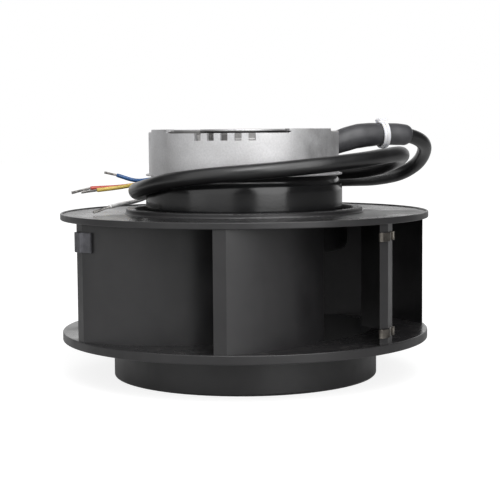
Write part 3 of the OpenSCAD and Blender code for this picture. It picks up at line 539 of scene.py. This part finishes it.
def extruded(name, color, low, high, lines, specular=0.5):
    """Cable jacket or insulation with the die's faint lines along it, placed by the piece's UV map."""
    f = Finish(name, color, (low + high) / 2, specular=specular)
    uv = f.node("ShaderNodeTexCoord").outputs["UV"]
    stretch = f.node("ShaderNodeMapping")
    stretch.inputs["Scale"].default_value = (6, lines, 1)
    f.link(uv, stretch.inputs["Vector"])
    draw = f.noise(1.0, 3.0, stretch.outputs["Vector"])
    f.paint(f.mix(f.span(f.noise(90, 4.0), 0, 1), tuple(c * 0.82 for c in color),
                  tuple(min(1, c * 1.18) for c in color)))
    f.polish(110, low, high)
    f.bump(draw, 0.00005, 0.5)
    f.bump(f.noise(1300, 2.0), 0.00003, 0.3)
    return f.material


def shrunk_sleeve():
    """Heat-shrunk tubing: satin, a little crinkled, paler where it is stretched."""
    f = Finish("shrunk_sleeve", (0.05, 0.05, 0.054), 0.5, specular=0.6)
    f.paint(f.mix(f.span(f.noise(120, 5.0), 0, 1), (0.040, 0.040, 0.044), (0.066, 0.066, 0.071)))
    f.polish(160, 0.34, 0.50)
    f.bump(f.noise(1100, 3.0), 0.00012, 0.5)
    f.bump(f.noise(90, 3.0), 0.0006, 0.3)
    return f.material


def nylon():
    """Natural nylon, slightly translucent."""
    f = Finish("natural_nylon", (0.80, 0.80, 0.83), 0.4)
    f.mottle(300, 0.05)
    f.set("Subsurface Weight", 0.25)
    f.set("Subsurface Radius", (0.002, 0.0018, 0.0014))
    f.polish(250, 0.32, 0.5)
    f.bump(f.noise(900, 2.0), 0.00004, 0.4)
    return f.material


def ferrite():
    """Sintered magnet, dull and dark."""
    f = Finish("sintered_ferrite", (0.05, 0.048, 0.046), 0.6, metallic=0.2)
    f.mottle(500, 0.3)
    f.polish(300, 0.5, 0.75)
    f.bump(f.noise(1500, 3.0), 0.0001, 0.5)
    return f.material


def pressed_board():
    """Laminated paper board for insulation."""
    f = Finish("pressed_board", (0.62, 0.54, 0.36), 0.8, specular=0.2)
    f.mottle(600, 0.15, 6.0)
    f.polish(200, 0.7, 0.9)
    f.bump(f.noise(1.0, 3.0, f.scaled(900, 900, 3000)), 0.0001, 0.6)
    return f.material


# --- Shape helpers ---

def new_piece(name, mesh, body, slot, finishes, smooth=True):
    """Object of this name that rides a body and wears the finish of its slot."""
    piece = bpy.data.objects.new(name, mesh)
    bpy.context.collection.objects.link(piece)
    mesh.materials.clear()
    mesh.materials.append(finishes[slot])
    mesh.polygons.foreach_set("use_smooth", [smooth] * len(mesh.polygons))
    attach(piece, body)
    return piece


def smooth_line(points, step):
    """Points close together on a smooth curve through the given ones, in metres."""
    pts = [Vector(p) * MM for p in points]
    ends = [pts[0] * 2 - pts[1], *pts, pts[-1] * 2 - pts[-2]]
    line = []
    for i in range(len(pts) - 1):
        p0, p1, p2, p3 = ends[i:i + 4]
        knots = [0.0]
        for a, b in ((p0, p1), (p1, p2), (p2, p3)):
            knots.append(knots[-1] + math.sqrt((b - a).length))
        t0, t1, t2, t3 = knots
        count = max(2, math.ceil((p2 - p1).length / (step * MM)))
        for k in range(count):
            t = t1 + (t2 - t1) * k / count
            a1 = p0 * (t1 - t) / (t1 - t0) + p1 * (t - t0) / (t1 - t0)
            a2 = p1 * (t2 - t) / (t2 - t1) + p2 * (t - t1) / (t2 - t1)
            a3 = p2 * (t3 - t) / (t3 - t2) + p3 * (t - t2) / (t3 - t2)
            b1 = a1 * (t2 - t) / (t2 - t0) + a2 * (t - t0) / (t2 - t0)
            b2 = a2 * (t3 - t) / (t3 - t1) + a3 * (t - t1) / (t3 - t1)
            line.append(b1 * (t2 - t) / (t2 - t1) + b2 * (t - t1) / (t2 - t1))
    line.append(pts[-1])
    return line


def line_length(line):
    """Length of a line of points, in metres."""
    return sum((b - a).length for a, b in zip(line, line[1:]))


def frames(line):
    """Direction and two side vectors at each point, turned as little as possible along the line."""
    result = []
    side = None
    for i in range(len(line)):
        ahead = (line[min(i + 1, len(line) - 1)] - line[max(i - 1, 0)]).normalized()
        if side is None:
            side = ahead.cross(Vector((0, 0, 1))).normalized()
        side = (side - ahead * side.dot(ahead)).normalized()
        result.append((ahead, side, ahead.cross(side)))
    return result


def tube_mesh(name, line, radii, sides, bore=0.0):
    """Round tube along a line, closed at its ends, with a UV map of centimetres along it.

    radii gives the outer radius at each point. With a bore it is open like a sleeve.
    """
    turned = frames(line)
    profile = [(0, bore)]
    profile += [(i, radii[i]) for i in range(len(line))]
    profile += [(len(line) - 1, bore)]
    if bore:
        profile += [(i, bore) for i in range(len(line) - 2, 0, -1)]
    along = [0.0]
    for a, b in zip(line, line[1:]):
        along.append(along[-1] + (b - a).length)
    mesh = bpy.data.meshes.new(name)
    per_metre = 100
    bm = bmesh.new()
    uv = bm.loops.layers.uv.new("along")
    rings = []
    for i, radius in profile:
        ahead, side, lift = turned[i]
        if radius == 0.0:
            rings.append([bm.verts.new(line[i])] * sides)
        else:
            rings.append([bm.verts.new(line[i] + side * radius * math.cos(TURN * k / sides)
                                       + lift * radius * math.sin(TURN * k / sides))
                          for k in range(sides)])
    pairs = list(zip(range(len(rings)), range(1, len(rings))))
    if bore:
        pairs.append((len(rings) - 1, 0))
    for near, far in pairs:
        for k in range(sides):
            n = (k + 1) % sides
            corners = [rings[near][k], rings[far][k], rings[far][n], rings[near][n]]
            places = [(profile[near][0], k), (profile[far][0], k),
                      (profile[far][0], k + 1), (profile[near][0], k + 1)]
            kept = []
            for corner, place in zip(corners, places):
                if not kept or corner is not kept[-1][0]:
                    kept.append((corner, place))
            if len(kept) > 1 and kept[0][0] is kept[-1][0]:
                kept.pop()
            if len(kept) < 3:
                continue
            face = bm.faces.new([c for c, _ in kept])
            for loop, (_, (i, turn)) in zip(face.loops, kept):
                loop[uv].uv = (along[i] * per_metre, turn / sides)
    bmesh.ops.recalc_face_normals(bm, faces=bm.faces)
    bm.to_mesh(mesh)
    bm.free()
    return mesh


# --- Lead, sleeve, tie and wires ---

def make_lead(finishes):
    """The lead's black jacket, its two ends cut with a small edge. It gives the piece and its axis."""
    line = smooth_line(LEAD_ROUTE, 2.0)
    radius, cut_edge = LEAD_D / 2 * MM, 0.4 * MM
    radii = [radius] * len(line)
    radii[0] = radii[-1] = radius - cut_edge
    mesh = tube_mesh("lead_jacket", line, radii, 36)
    lead = new_piece("lead_jacket", mesh, "stator", "cable_jacket", finishes)
    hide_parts("supply_cable")
    return lead, line


def sleeve_swell(done, whole):
    """How far the sleeve stands out past its plain radius, done millimetres from its start."""
    if done <= SLEEVE_HIDDEN:
        return 0.0
    share = (done - SLEEVE_HIDDEN) / (whole - SLEEVE_HIDDEN)
    return SLEEVE_BELLY * math.sin(math.pi * min(1.0, share * 1.6)) - SLEEVE_TAPER * share ** 2


def make_sleeve(finishes):
    """Shrunk sleeve on the lead's first stretch, drawn in at its outer end."""
    line = smooth_line(LEAD_ROUTE[:SLEEVE_LAST + 2], 1.2)
    end = Vector(LEAD_ROUTE[SLEEVE_LAST]) * MM
    last = min(range(len(line)), key=lambda i: (line[i] - end).length)
    line = line[:last + 1]
    whole = line_length(line) / MM
    inset, bore_gap = 0.06, 0.02
    radii = []
    for i in range(len(line)):
        left = line_length(line[i:]) / MM
        waist = 0.0 if left > SLEEVE_END else (1 - left / SLEEVE_END) ** 2 * SLEEVE_DRAW
        ripple = 0.05 * math.sin(i * 0.83) + 0.04 * math.sin(i * 0.37 + 1)
        swell = sleeve_swell(whole - left, whole)
        radii.append((SLEEVE_D / 2 + swell - waist + ripple - inset) * MM)
    mesh = tube_mesh("sleeve", line, radii, 36, bore=(LEAD_D / 2 + bore_gap) * MM)
    sleeve = new_piece("sleeve", mesh, "stator", "sleeve_rubber", finishes)
    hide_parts("cable_sleeve")
    return sleeve


def make_wires(finishes):
    """The insulation of the four wires, from the end of the jacket. It gives pieces and axes."""
    made = []
    radius, cut_edge = WIRE_D / 2 * MM, 0.2 * MM
    for colour, route in WIRE_ROUTES.items():
        line = smooth_line(route[:-1], 1.0)
        radii = [radius] * len(line)
        radii[-1] = radius - cut_edge
        mesh = tube_mesh("wire_" + colour, line, radii, 20)
        wire = new_piece("wire_" + colour, mesh, "stator", colour + "_insulation", finishes)
        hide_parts(colour + "_wire")
        made.append((wire, line))
    return made


def lay(mesh, origin, ahead, up):
    """Moves a mesh built along +X, with +Z up, to a place and heading."""
    ahead = ahead.normalized()
    side = up.cross(ahead).normalized()
    lift = ahead.cross(side)
    turned = Matrix((ahead, side, lift)).transposed().to_4x4()
    mesh.transform(Matrix.Translation(origin) @ turned)
    return mesh


def evaluated(name, tree, values):
    """The plain mesh that a node tree makes with these input values."""
    carrier = bpy.data.objects.new(name, bpy.data.meshes.new(name + "_seed"))
    bpy.context.collection.objects.link(carrier)
    modifier = carrier.modifiers.new(name, "NODES")
    modifier.node_group = tree
    for item in tree.interface.items_tree:
        if item.in_out == "INPUT" and item.name in values:
            modifier[item.identifier] = values[item.name]
    graph = bpy.context.evaluated_depsgraph_get()
    mesh = bpy.data.meshes.new_from_object(carrier.evaluated_get(graph), depsgraph=graph)
    carrier.modifiers.clear()
    bpy.data.objects.remove(carrier)
    mesh.name = name
    return mesh


class Growth:
    """A Geometry Nodes tree with short calls for its nodes and links."""

    def __init__(self, name, **inputs):
        self.tree = bpy.data.node_groups.new(name, "GeometryNodeTree")
        for label, (kind, value) in inputs.items():
            socket = self.tree.interface.new_socket(label, in_out="INPUT", socket_type=kind)
            if value is not None:
                socket.default_value = value
        self.tree.interface.new_socket("Geometry", in_out="OUTPUT",
                                       socket_type="NodeSocketGeometry")
        self.given = self.tree.nodes.new("NodeGroupInput")
        self.result = self.tree.nodes.new("NodeGroupOutput")

    def node(self, kind, links=None, **values):
        made = self.tree.nodes.new(kind)
        for name, value in values.items():
            setattr(made, name, value)
        for target, source in (links or {}).items():
            if isinstance(source, bpy.types.NodeSocket):
                self.tree.links.new(source, made.inputs[target])
            else:
                made.inputs[target].default_value = source
        return made

    def math(self, operation, first, second):
        return self.node("ShaderNodeMath", {0: first, 1: second}, operation=operation).outputs[0]

    def finish(self, geometry, material):
        real = self.node("GeometryNodeRealizeInstances", {"Geometry": geometry})
        dressed = self.node("GeometryNodeSetMaterial",
                            {"Geometry": real.outputs[0], "Material": material})
        self.tree.links.new(dressed.outputs[0], self.result.inputs[0])
        return self.tree


def strand_growth(material):
    """Fine wires twisted round the X axis, one beside the other, spreading towards their ends."""
    g = Growth("twisted_strands",
               Strands=("NodeSocketInt", 7), Length=("NodeSocketFloat", 0.01),
               Lay_Radius=("NodeSocketFloat", 0.0006), Strand_Radius=("NodeSocketFloat", 0.0002),
               Turns=("NodeSocketFloat", 1.5), Flare=("NodeSocketFloat", 1.3))
    i = g.given.outputs
    spiral = g.node("GeometryNodeCurveSpiral", {
        "Resolution": 20, "Rotations": i["Turns"], "Start Radius": i["Lay_Radius"],
        "End Radius": g.math("MULTIPLY", i["Lay_Radius"], i["Flare"]), "Height": i["Length"]})
    ring = g.node("GeometryNodeCurvePrimitiveCircle", {"Resolution": 7, "Radius": i["Strand_Radius"]})
    swept = g.node("GeometryNodeCurveToMesh", {"Curve": spiral.outputs[0],
                                               "Profile Curve": ring.outputs[0], "Fill Caps": True})
    places = g.node("GeometryNodePoints", {"Count": i["Strands"]})
    index = g.node("GeometryNodeInputIndex").outputs[0]
    angle = g.math("DIVIDE", g.math("MULTIPLY", index, TURN), i["Strands"])
    turned = g.node("ShaderNodeCombineXYZ", {"Z": angle})
    copies = g.node("GeometryNodeInstanceOnPoints", {
        "Points": places.outputs[0], "Instance": swept.outputs[0], "Rotation": turned.outputs[0]})
    upright = g.node("GeometryNodeTransform", {"Geometry": copies.outputs[0],
                                               "Rotation": (0, math.pi / 2, 0)})
    return g.finish(upright.outputs[0], material)


def make_strands(finishes):
    """The bare ends of the four wires: twisted tinned strands."""
    tree = strand_growth(finishes["tinned_copper"])
    joined = bmesh.new()
    strand, core_end = STRAND_R * MM, 0.4 * MM
    for number, route in enumerate(WIRE_ROUTES.values()):
        start, end = Vector(route[-2]) * MM, Vector(route[-1]) * MM
        ahead = (end - start).normalized()
        begin = start - ahead * STRAND_HIDDEN * MM
        mesh = evaluated("bare_end", tree, {
            "Length": (end - begin).length, "Strand_Radius": strand,
            "Lay_Radius": CORE_D / 2 * MM - strand, "Turns": 1.2 + 0.25 * number,
            "Flare": 1.05 + 0.12 * (number % 3)})
        lay(mesh, begin, ahead, Vector((0, 0, 1)))
        joined.from_mesh(mesh)
        core = tube_mesh("bare_core", [begin, (begin + end) / 2, end - ahead * core_end],
                         [CORE_D / 2 * MM - 1.7 * strand] * 3, 10)
        joined.from_mesh(core)
    mesh = bpy.data.meshes.new("bare_strands")
    joined.to_mesh(mesh)
    joined.free()
    strands = new_piece("bare_strands", mesh, "stator", "tinned_copper", finishes)
    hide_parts("bare_wire_ends")


def tooth_growth(material):
    """Ridges across the strap of a cable tie, all round it."""
    g = Growth("strap_teeth",
               Teeth=("NodeSocketInt", 40), Radius=("NodeSocketFloat", 0.009),
               Width=("NodeSocketFloat", 0.002), Pitch=("NodeSocketFloat", 0.001))
    i = g.given.outputs
    ring = g.node("GeometryNodeCurvePrimitiveCircle",
                  {"Resolution": i["Teeth"], "Radius": i["Radius"]})
    size = g.node("ShaderNodeCombineXYZ", {"X": g.math("MULTIPLY", i["Pitch"], 0.6),
                                           "Y": g.math("MULTIPLY", i["Pitch"], 0.5),
                                           "Z": i["Width"]})
    ridge = g.node("GeometryNodeMeshCube", {"Size": size.outputs[0]})
    points = g.node("GeometryNodeCurveToPoints", {"Curve": ring.outputs[0]}, mode="EVALUATED")
    copies = g.node("GeometryNodeInstanceOnPoints", {
        "Points": points.outputs["Points"], "Instance": ridge.outputs[0],
        "Rotation": points.outputs["Rotation"]})
    return g.finish(copies.outputs[0], material)


def add_block(bm, size, bevel, segments, across, up):
    """Adds a box with rounded edges to the tie, this far across the strap and up from its axis."""
    block = bmesh.new()
    bmesh.ops.create_cube(block, size=1)
    bmesh.ops.scale(block, vec=[side * MM for side in size], verts=block.verts)
    bmesh.ops.bevel(block, geom=block.edges[:], offset=bevel * MM, segments=segments, affect="EDGES")
    bmesh.ops.translate(block, vec=(0, across * MM, up * MM), verts=block.verts)
    mesh = bpy.data.meshes.new("tie_block")
    block.to_mesh(mesh)
    block.free()
    bm.from_mesh(mesh)


def add_strap(bm, inner, outer):
    """Adds the closed strap of the tie, with its edges broken."""
    half, edge, sides = TIE_W / 2 * MM, 0.25 * MM, 72
    section = [(inner, -half + edge), (inner, half - edge), (inner + edge, half),
               (outer - edge, half), (outer, half - edge), (outer, -half + edge),
               (outer - edge, -half), (inner + edge, -half)]
    rings = []
    for k in range(sides):
        a = TURN * k / sides
        rings.append([bm.verts.new((w, r * math.cos(a), r * math.sin(a))) for r, w in section])
    for k in range(sides):
        near, far = rings[k], rings[(k + 1) % sides]
        for j in range(len(section)):
            n = (j + 1) % len(section)
            bm.faces.new([near[j], near[n], far[n], far[j]])


def make_tie(finishes):
    """Nylon cable tie round the sleeve: toothed strap, ratchet head and cut tail."""
    route = [Vector(p) * MM for p in LEAD_ROUTE]
    ahead = (route[3] - route[2]).normalized()
    centre = route[3] - ahead * TIE_SETBACK * MM
    inner = SLEEVE_D / 2 + TIE_GAP
    outer = (inner + TIE_T) * MM
    bm = bmesh.new()
    add_strap(bm, inner * MM, outer)
    tooth_pitch, tooth_share, sunk = 1.15, 0.55, 0.05
    teeth = evaluated("strap_teeth", tooth_growth(finishes["natural_nylon"]), {
        "Teeth": TIE_TEETH, "Radius": outer - sunk * MM, "Width": TIE_W * tooth_share * MM,
        "Pitch": tooth_pitch * MM})
    teeth.transform(Matrix.Rotation(math.pi / 2, 4, "Y"))
    bm.from_mesh(teeth)
    add_block(bm, TIE_HEAD, 0.7, 3, 0, inner + TIE_HEAD_LIFT)
    add_block(bm, TIE_TAIL, 0.2, 2, TIE_TAIL_OUT, inner + TIE_TAIL_LIFT)
    bmesh.ops.recalc_face_normals(bm, faces=bm.faces)
    mesh = bpy.data.meshes.new("cable_tie_strap")
    bm.to_mesh(mesh)
    bm.free()
    lay(mesh, centre, ahead, Vector((0, 0, 1)))
    tie = new_piece("cable_tie_strap", mesh, "stator", "natural_nylon", finishes, smooth=False)
    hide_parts("cable_tie")
    return tie


# --- Rotor cup ---

def revolve(name, outline, sides):
    """Turned piece from a closed outline of (radius, height) points in millimetres."""
    bm = bmesh.new()
    rings = [[bm.verts.new((r * MM * math.cos(TURN * k / sides),
                            r * MM * math.sin(TURN * k / sides), z * MM)) for k in range(sides)]
             for r, z in outline]
    for near, far in zip(rings, rings[1:] + rings[:1]):
        for k in range(sides):
            n = (k + 1) % sides
            bm.faces.new([near[k], near[n], far[n], far[k]])
    bmesh.ops.recalc_face_normals(bm, faces=bm.faces)
    mesh = bpy.data.meshes.new(name)
    bm.to_mesh(mesh)
    bm.free()
    return mesh


def make_rotor_skin(finishes):
    """Drawn steel cup of the rotor, whose open edge is rolled in with a soft shoulder."""
    low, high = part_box("rotor_cup")
    r, bottom, top = high.x / MM, low.z / MM, high.z / MM
    corner_steps, roll_steps = 6, 14
    outline = [(BUSH_R, bottom)]
    for k in range(corner_steps + 1):
        a = TURN / 4 * k / corner_steps
        outline.append((r - ROTOR_CORNER_R + ROTOR_CORNER_R * math.sin(a),
                        bottom + ROTOR_CORNER_R - ROTOR_CORNER_R * math.cos(a)))
    roll = [(r - ROLL_IN * (k / roll_steps) ** ROLL_BEND, top - ROLL_H * (1 - k / roll_steps))
            for k in range(roll_steps + 1)]
    outline += roll
    outline += [(out - ROTOR_WALL, z) for out, z in reversed(roll)]
    outline += [(r - ROTOR_WALL, bottom + ROTOR_WALL), (BUSH_R, bottom + ROTOR_WALL)]
    skin = new_piece("rotor_skin", revolve("rotor_skin", outline, 160), "rotor", "painted_steel",
                     finishes)
    skin.data.set_sharp_from_angle(angle=math.radians(40))
    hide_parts("rotor_cup")


# --- Balance clips ---

def blade_curve():
    """Distance from the fan axis to the centre of a blade's curve, in millimetres."""
    return math.sqrt(BLADE_CURVE_R ** 2 + BLADE_TIP_R ** 2 - 2 * BLADE_CURVE_R * BLADE_TIP_R
                     * math.cos(math.radians(BLADE_OUTLET)))


def curve_angle(r, arc_r):
    """Angle about the curve's centre at which an arc of radius arc_r is r away from the fan axis."""
    away = blade_curve()
    return math.acos((r * r - away * away - arc_r * arc_r) / (2 * away * arc_r))


def clip_line(reach):
    """Centre line of the folded sheet in a blade's own frame: roll, outer leg, fold, inner leg."""
    away = blade_curve()
    outer = BLADE_CURVE_R + (BLADE_T + CLIP_T) / 2
    inner = BLADE_CURVE_R - (BLADE_T + CLIP_T) / 2
    tip = BLADE_TIP_R + CLIP_T / 2 + CLIP_BULGE
    leg = BLADE_TIP_R - reach

    def at(arc_r, angle):
        return Vector((away + arc_r * math.cos(angle), arc_r * math.sin(angle)))

    end, corner = curve_angle(leg, outer), curve_angle(BLADE_TIP_R, outer)
    roll_hub = at(outer + CLIP_ROLL_R, end)
    roll_steps, roll_turn, steps, fold_steps = 14, math.radians(200), 24, 17
    line = []
    for k in range(roll_steps):
        turn = end + math.pi + roll_turn - k * roll_turn / roll_steps
        line.append(roll_hub + Vector((math.cos(turn), math.sin(turn))) * CLIP_ROLL_R)
    line += [at(outer, end + (corner - end) * k / steps) for k in range(steps + 1)]
    last = curve_angle(BLADE_TIP_R, BLADE_CURVE_R - BLADE_T / 2) - 0.4 / BLADE_CURVE_R
    blunt, sharp = line[-1], at(inner + CLIP_T / 2, last)
    for k in range(1, fold_steps):
        line.append(blunt.lerp(sharp, k / fold_steps).normalized() * tip)
    line.append(at(BLADE_CURVE_R - BLADE_T / 2 - CLIP_T / 4, last))
    line += [at(inner, last + (curve_angle(leg, inner) - last) * k / steps)
             for k in range(1, steps + 1)]
    for _ in range(3):
        line = [line[0]] + [(a + b * 2 + c) / 4 for a, b, c in zip(line, line[1:], line[2:])] \
            + [line[-1]]
    return line


def make_clip(number, blade, reach, slot, finishes):
    """Spring clip pushed on the outer end of a blade, with rounded corners and a rolled edge."""
    low, high = (corner.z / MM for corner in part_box("balance_clip_%d" % number))
    line = clip_line(reach)
    away = blade_curve()
    start = math.acos((BLADE_TIP_R ** 2 + away ** 2 - BLADE_CURVE_R ** 2) / (2 * BLADE_TIP_R * away))
    turn = math.radians(FIRST_BLADE + (blade - 1) * 360 / BLADE_COUNT) - start
    middle, half, thick = (low + high) / 2, (high - low) / 2, CLIP_T / 2
    bm = bmesh.new()
    rings = []
    left = sum((b - a).length for a, b in zip(line, line[1:]))
    for i, point in enumerate(line):
        if i:
            left -= (point - line[i - 1]).length
        ahead = (line[min(i + 1, len(line) - 1)] - line[max(i - 1, 0)]).normalized()
        side = Vector((-ahead.y, ahead.x))
        # The free end narrows along a quarter circle
        near_end = max(min(left, CLIP_CORNER), 0.05)
        tall = half - CLIP_CORNER + math.sqrt(CLIP_CORNER ** 2 - (CLIP_CORNER - near_end) ** 2)
        section = [(-thick, -tall + CLIP_EDGE), (-thick, tall - CLIP_EDGE), (-thick + CLIP_EDGE, tall),
                   (thick - CLIP_EDGE, tall), (thick, tall - CLIP_EDGE), (thick, -tall + CLIP_EDGE),
                   (thick - CLIP_EDGE, -tall), (-thick + CLIP_EDGE, -tall)]
        places = [(point + side * out, middle + up) for out, up in section]
        rings.append([bm.verts.new((flat.x * MM, flat.y * MM, z * MM)) for flat, z in places])
    for near, far in zip(rings, rings[1:]):
        for k in range(len(near)):
            n = (k + 1) % len(near)
            bm.faces.new([near[k], near[n], far[n], far[k]])
    bm.faces.new(rings[0][::-1])
    bm.faces.new(rings[-1])
    bmesh.ops.recalc_face_normals(bm, faces=bm.faces)
    mesh = bpy.data.meshes.new("blade_clip_%d" % number)
    bm.to_mesh(mesh)
    bm.free()
    mesh.transform(Matrix.Rotation(turn, 4, "Z"))
    clip = new_piece("blade_clip_%d" % number, mesh, "rotor", slot, finishes, smooth=False)
    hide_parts("balance_clip_%d" % number)


# --- The whole fan ---

def make_finishes():
    """The finish of each material slot."""
    finishes = {
        "black_plastic": moulded_black(),
        "painted_steel": satin_paint(),
        "cast_aluminium": die_cast(),
        "machined_steel": turned_metal("machined_steel", (0.62, 0.63, 0.65), 0.2, 0.36),
        "core_steel": laminated(),
        "ferrite": ferrite(),
        "copper": wound_copper(),
        "insulating_board": pressed_board(),
        "green_board": solder_mask(),
        "sleeve_rubber": shrunk_sleeve(),
        "natural_nylon": nylon(),
        "cable_jacket": extruded("cable_jacket", (0.008, 0.008, 0.0085), 0.28, 0.38, 34, 0.75)}
    for slot, *values in (
            ("zinc_steel", (0.46, 0.47, 0.48), 0.28, 0.45),
            ("spring_steel", (0.17, 0.17, 0.185), 0.32, 0.48),
            ("clip_steel", (0.25, 0.23, 0.205), 0.28, 0.45, 0.3),
            ("bronze_pin", (0.55, 0.40, 0.18), 0.25, 0.4),
            ("tinned_copper", (0.56, 0.54, 0.52), 0.22, 0.4, 0.35)):
        finishes[slot] = plated(slot, *values)
    for slot, *values in (
            ("ivory_plastic", (0.72, 0.68, 0.55), 0.4, 0.55),
            ("capacitor_can", (0.03, 0.033, 0.07), 0.25, 0.35),
            ("chip_black", (0.012, 0.012, 0.013), 0.5, 0.65),
            ("dark_plastic", (0.045, 0.046, 0.05), 0.4, 0.55)):
        finishes[slot] = moulded(slot, *values)
    for slot, colour in (
            ("blue_insulation", (0.03, 0.11, 0.30)), ("yellow_insulation", (0.66, 0.49, 0.11)),
            ("red_insulation", (0.55, 0.085, 0.06)), ("white_insulation", (0.86, 0.86, 0.85))):
        finishes[slot] = extruded(slot, colour, 0.26, 0.36, 12)
    return finishes


def dress_solids(finishes):
    """Gives every solid the finish of its slot."""
    for part in frame["record"]["subparts"]:
        solid = frame["nodes"][part["node"]]
        solid.data.materials.clear()
        solid.data.materials.append(finishes[part["material_slot"]])


def main():
    """Sets up the studio, dresses the solids and adds the finer pieces."""
    bpy.context.scene.view_settings.view_transform = "Standard"
    make_camera()
    make_world()
    make_floor()
    make_lights()
    finishes = make_finishes()
    dress_solids(finishes)
    lead, line = make_lead(finishes)
    sleeve = make_sleeve(finishes)
    wires = make_wires(finishes)
    tie = make_tie(finishes)
    make_strands(finishes)
    make_rotor_skin(finishes)
    for number, blade, reach, slot in CLIPS:
        make_clip(number, blade, reach, slot, finishes)


main()
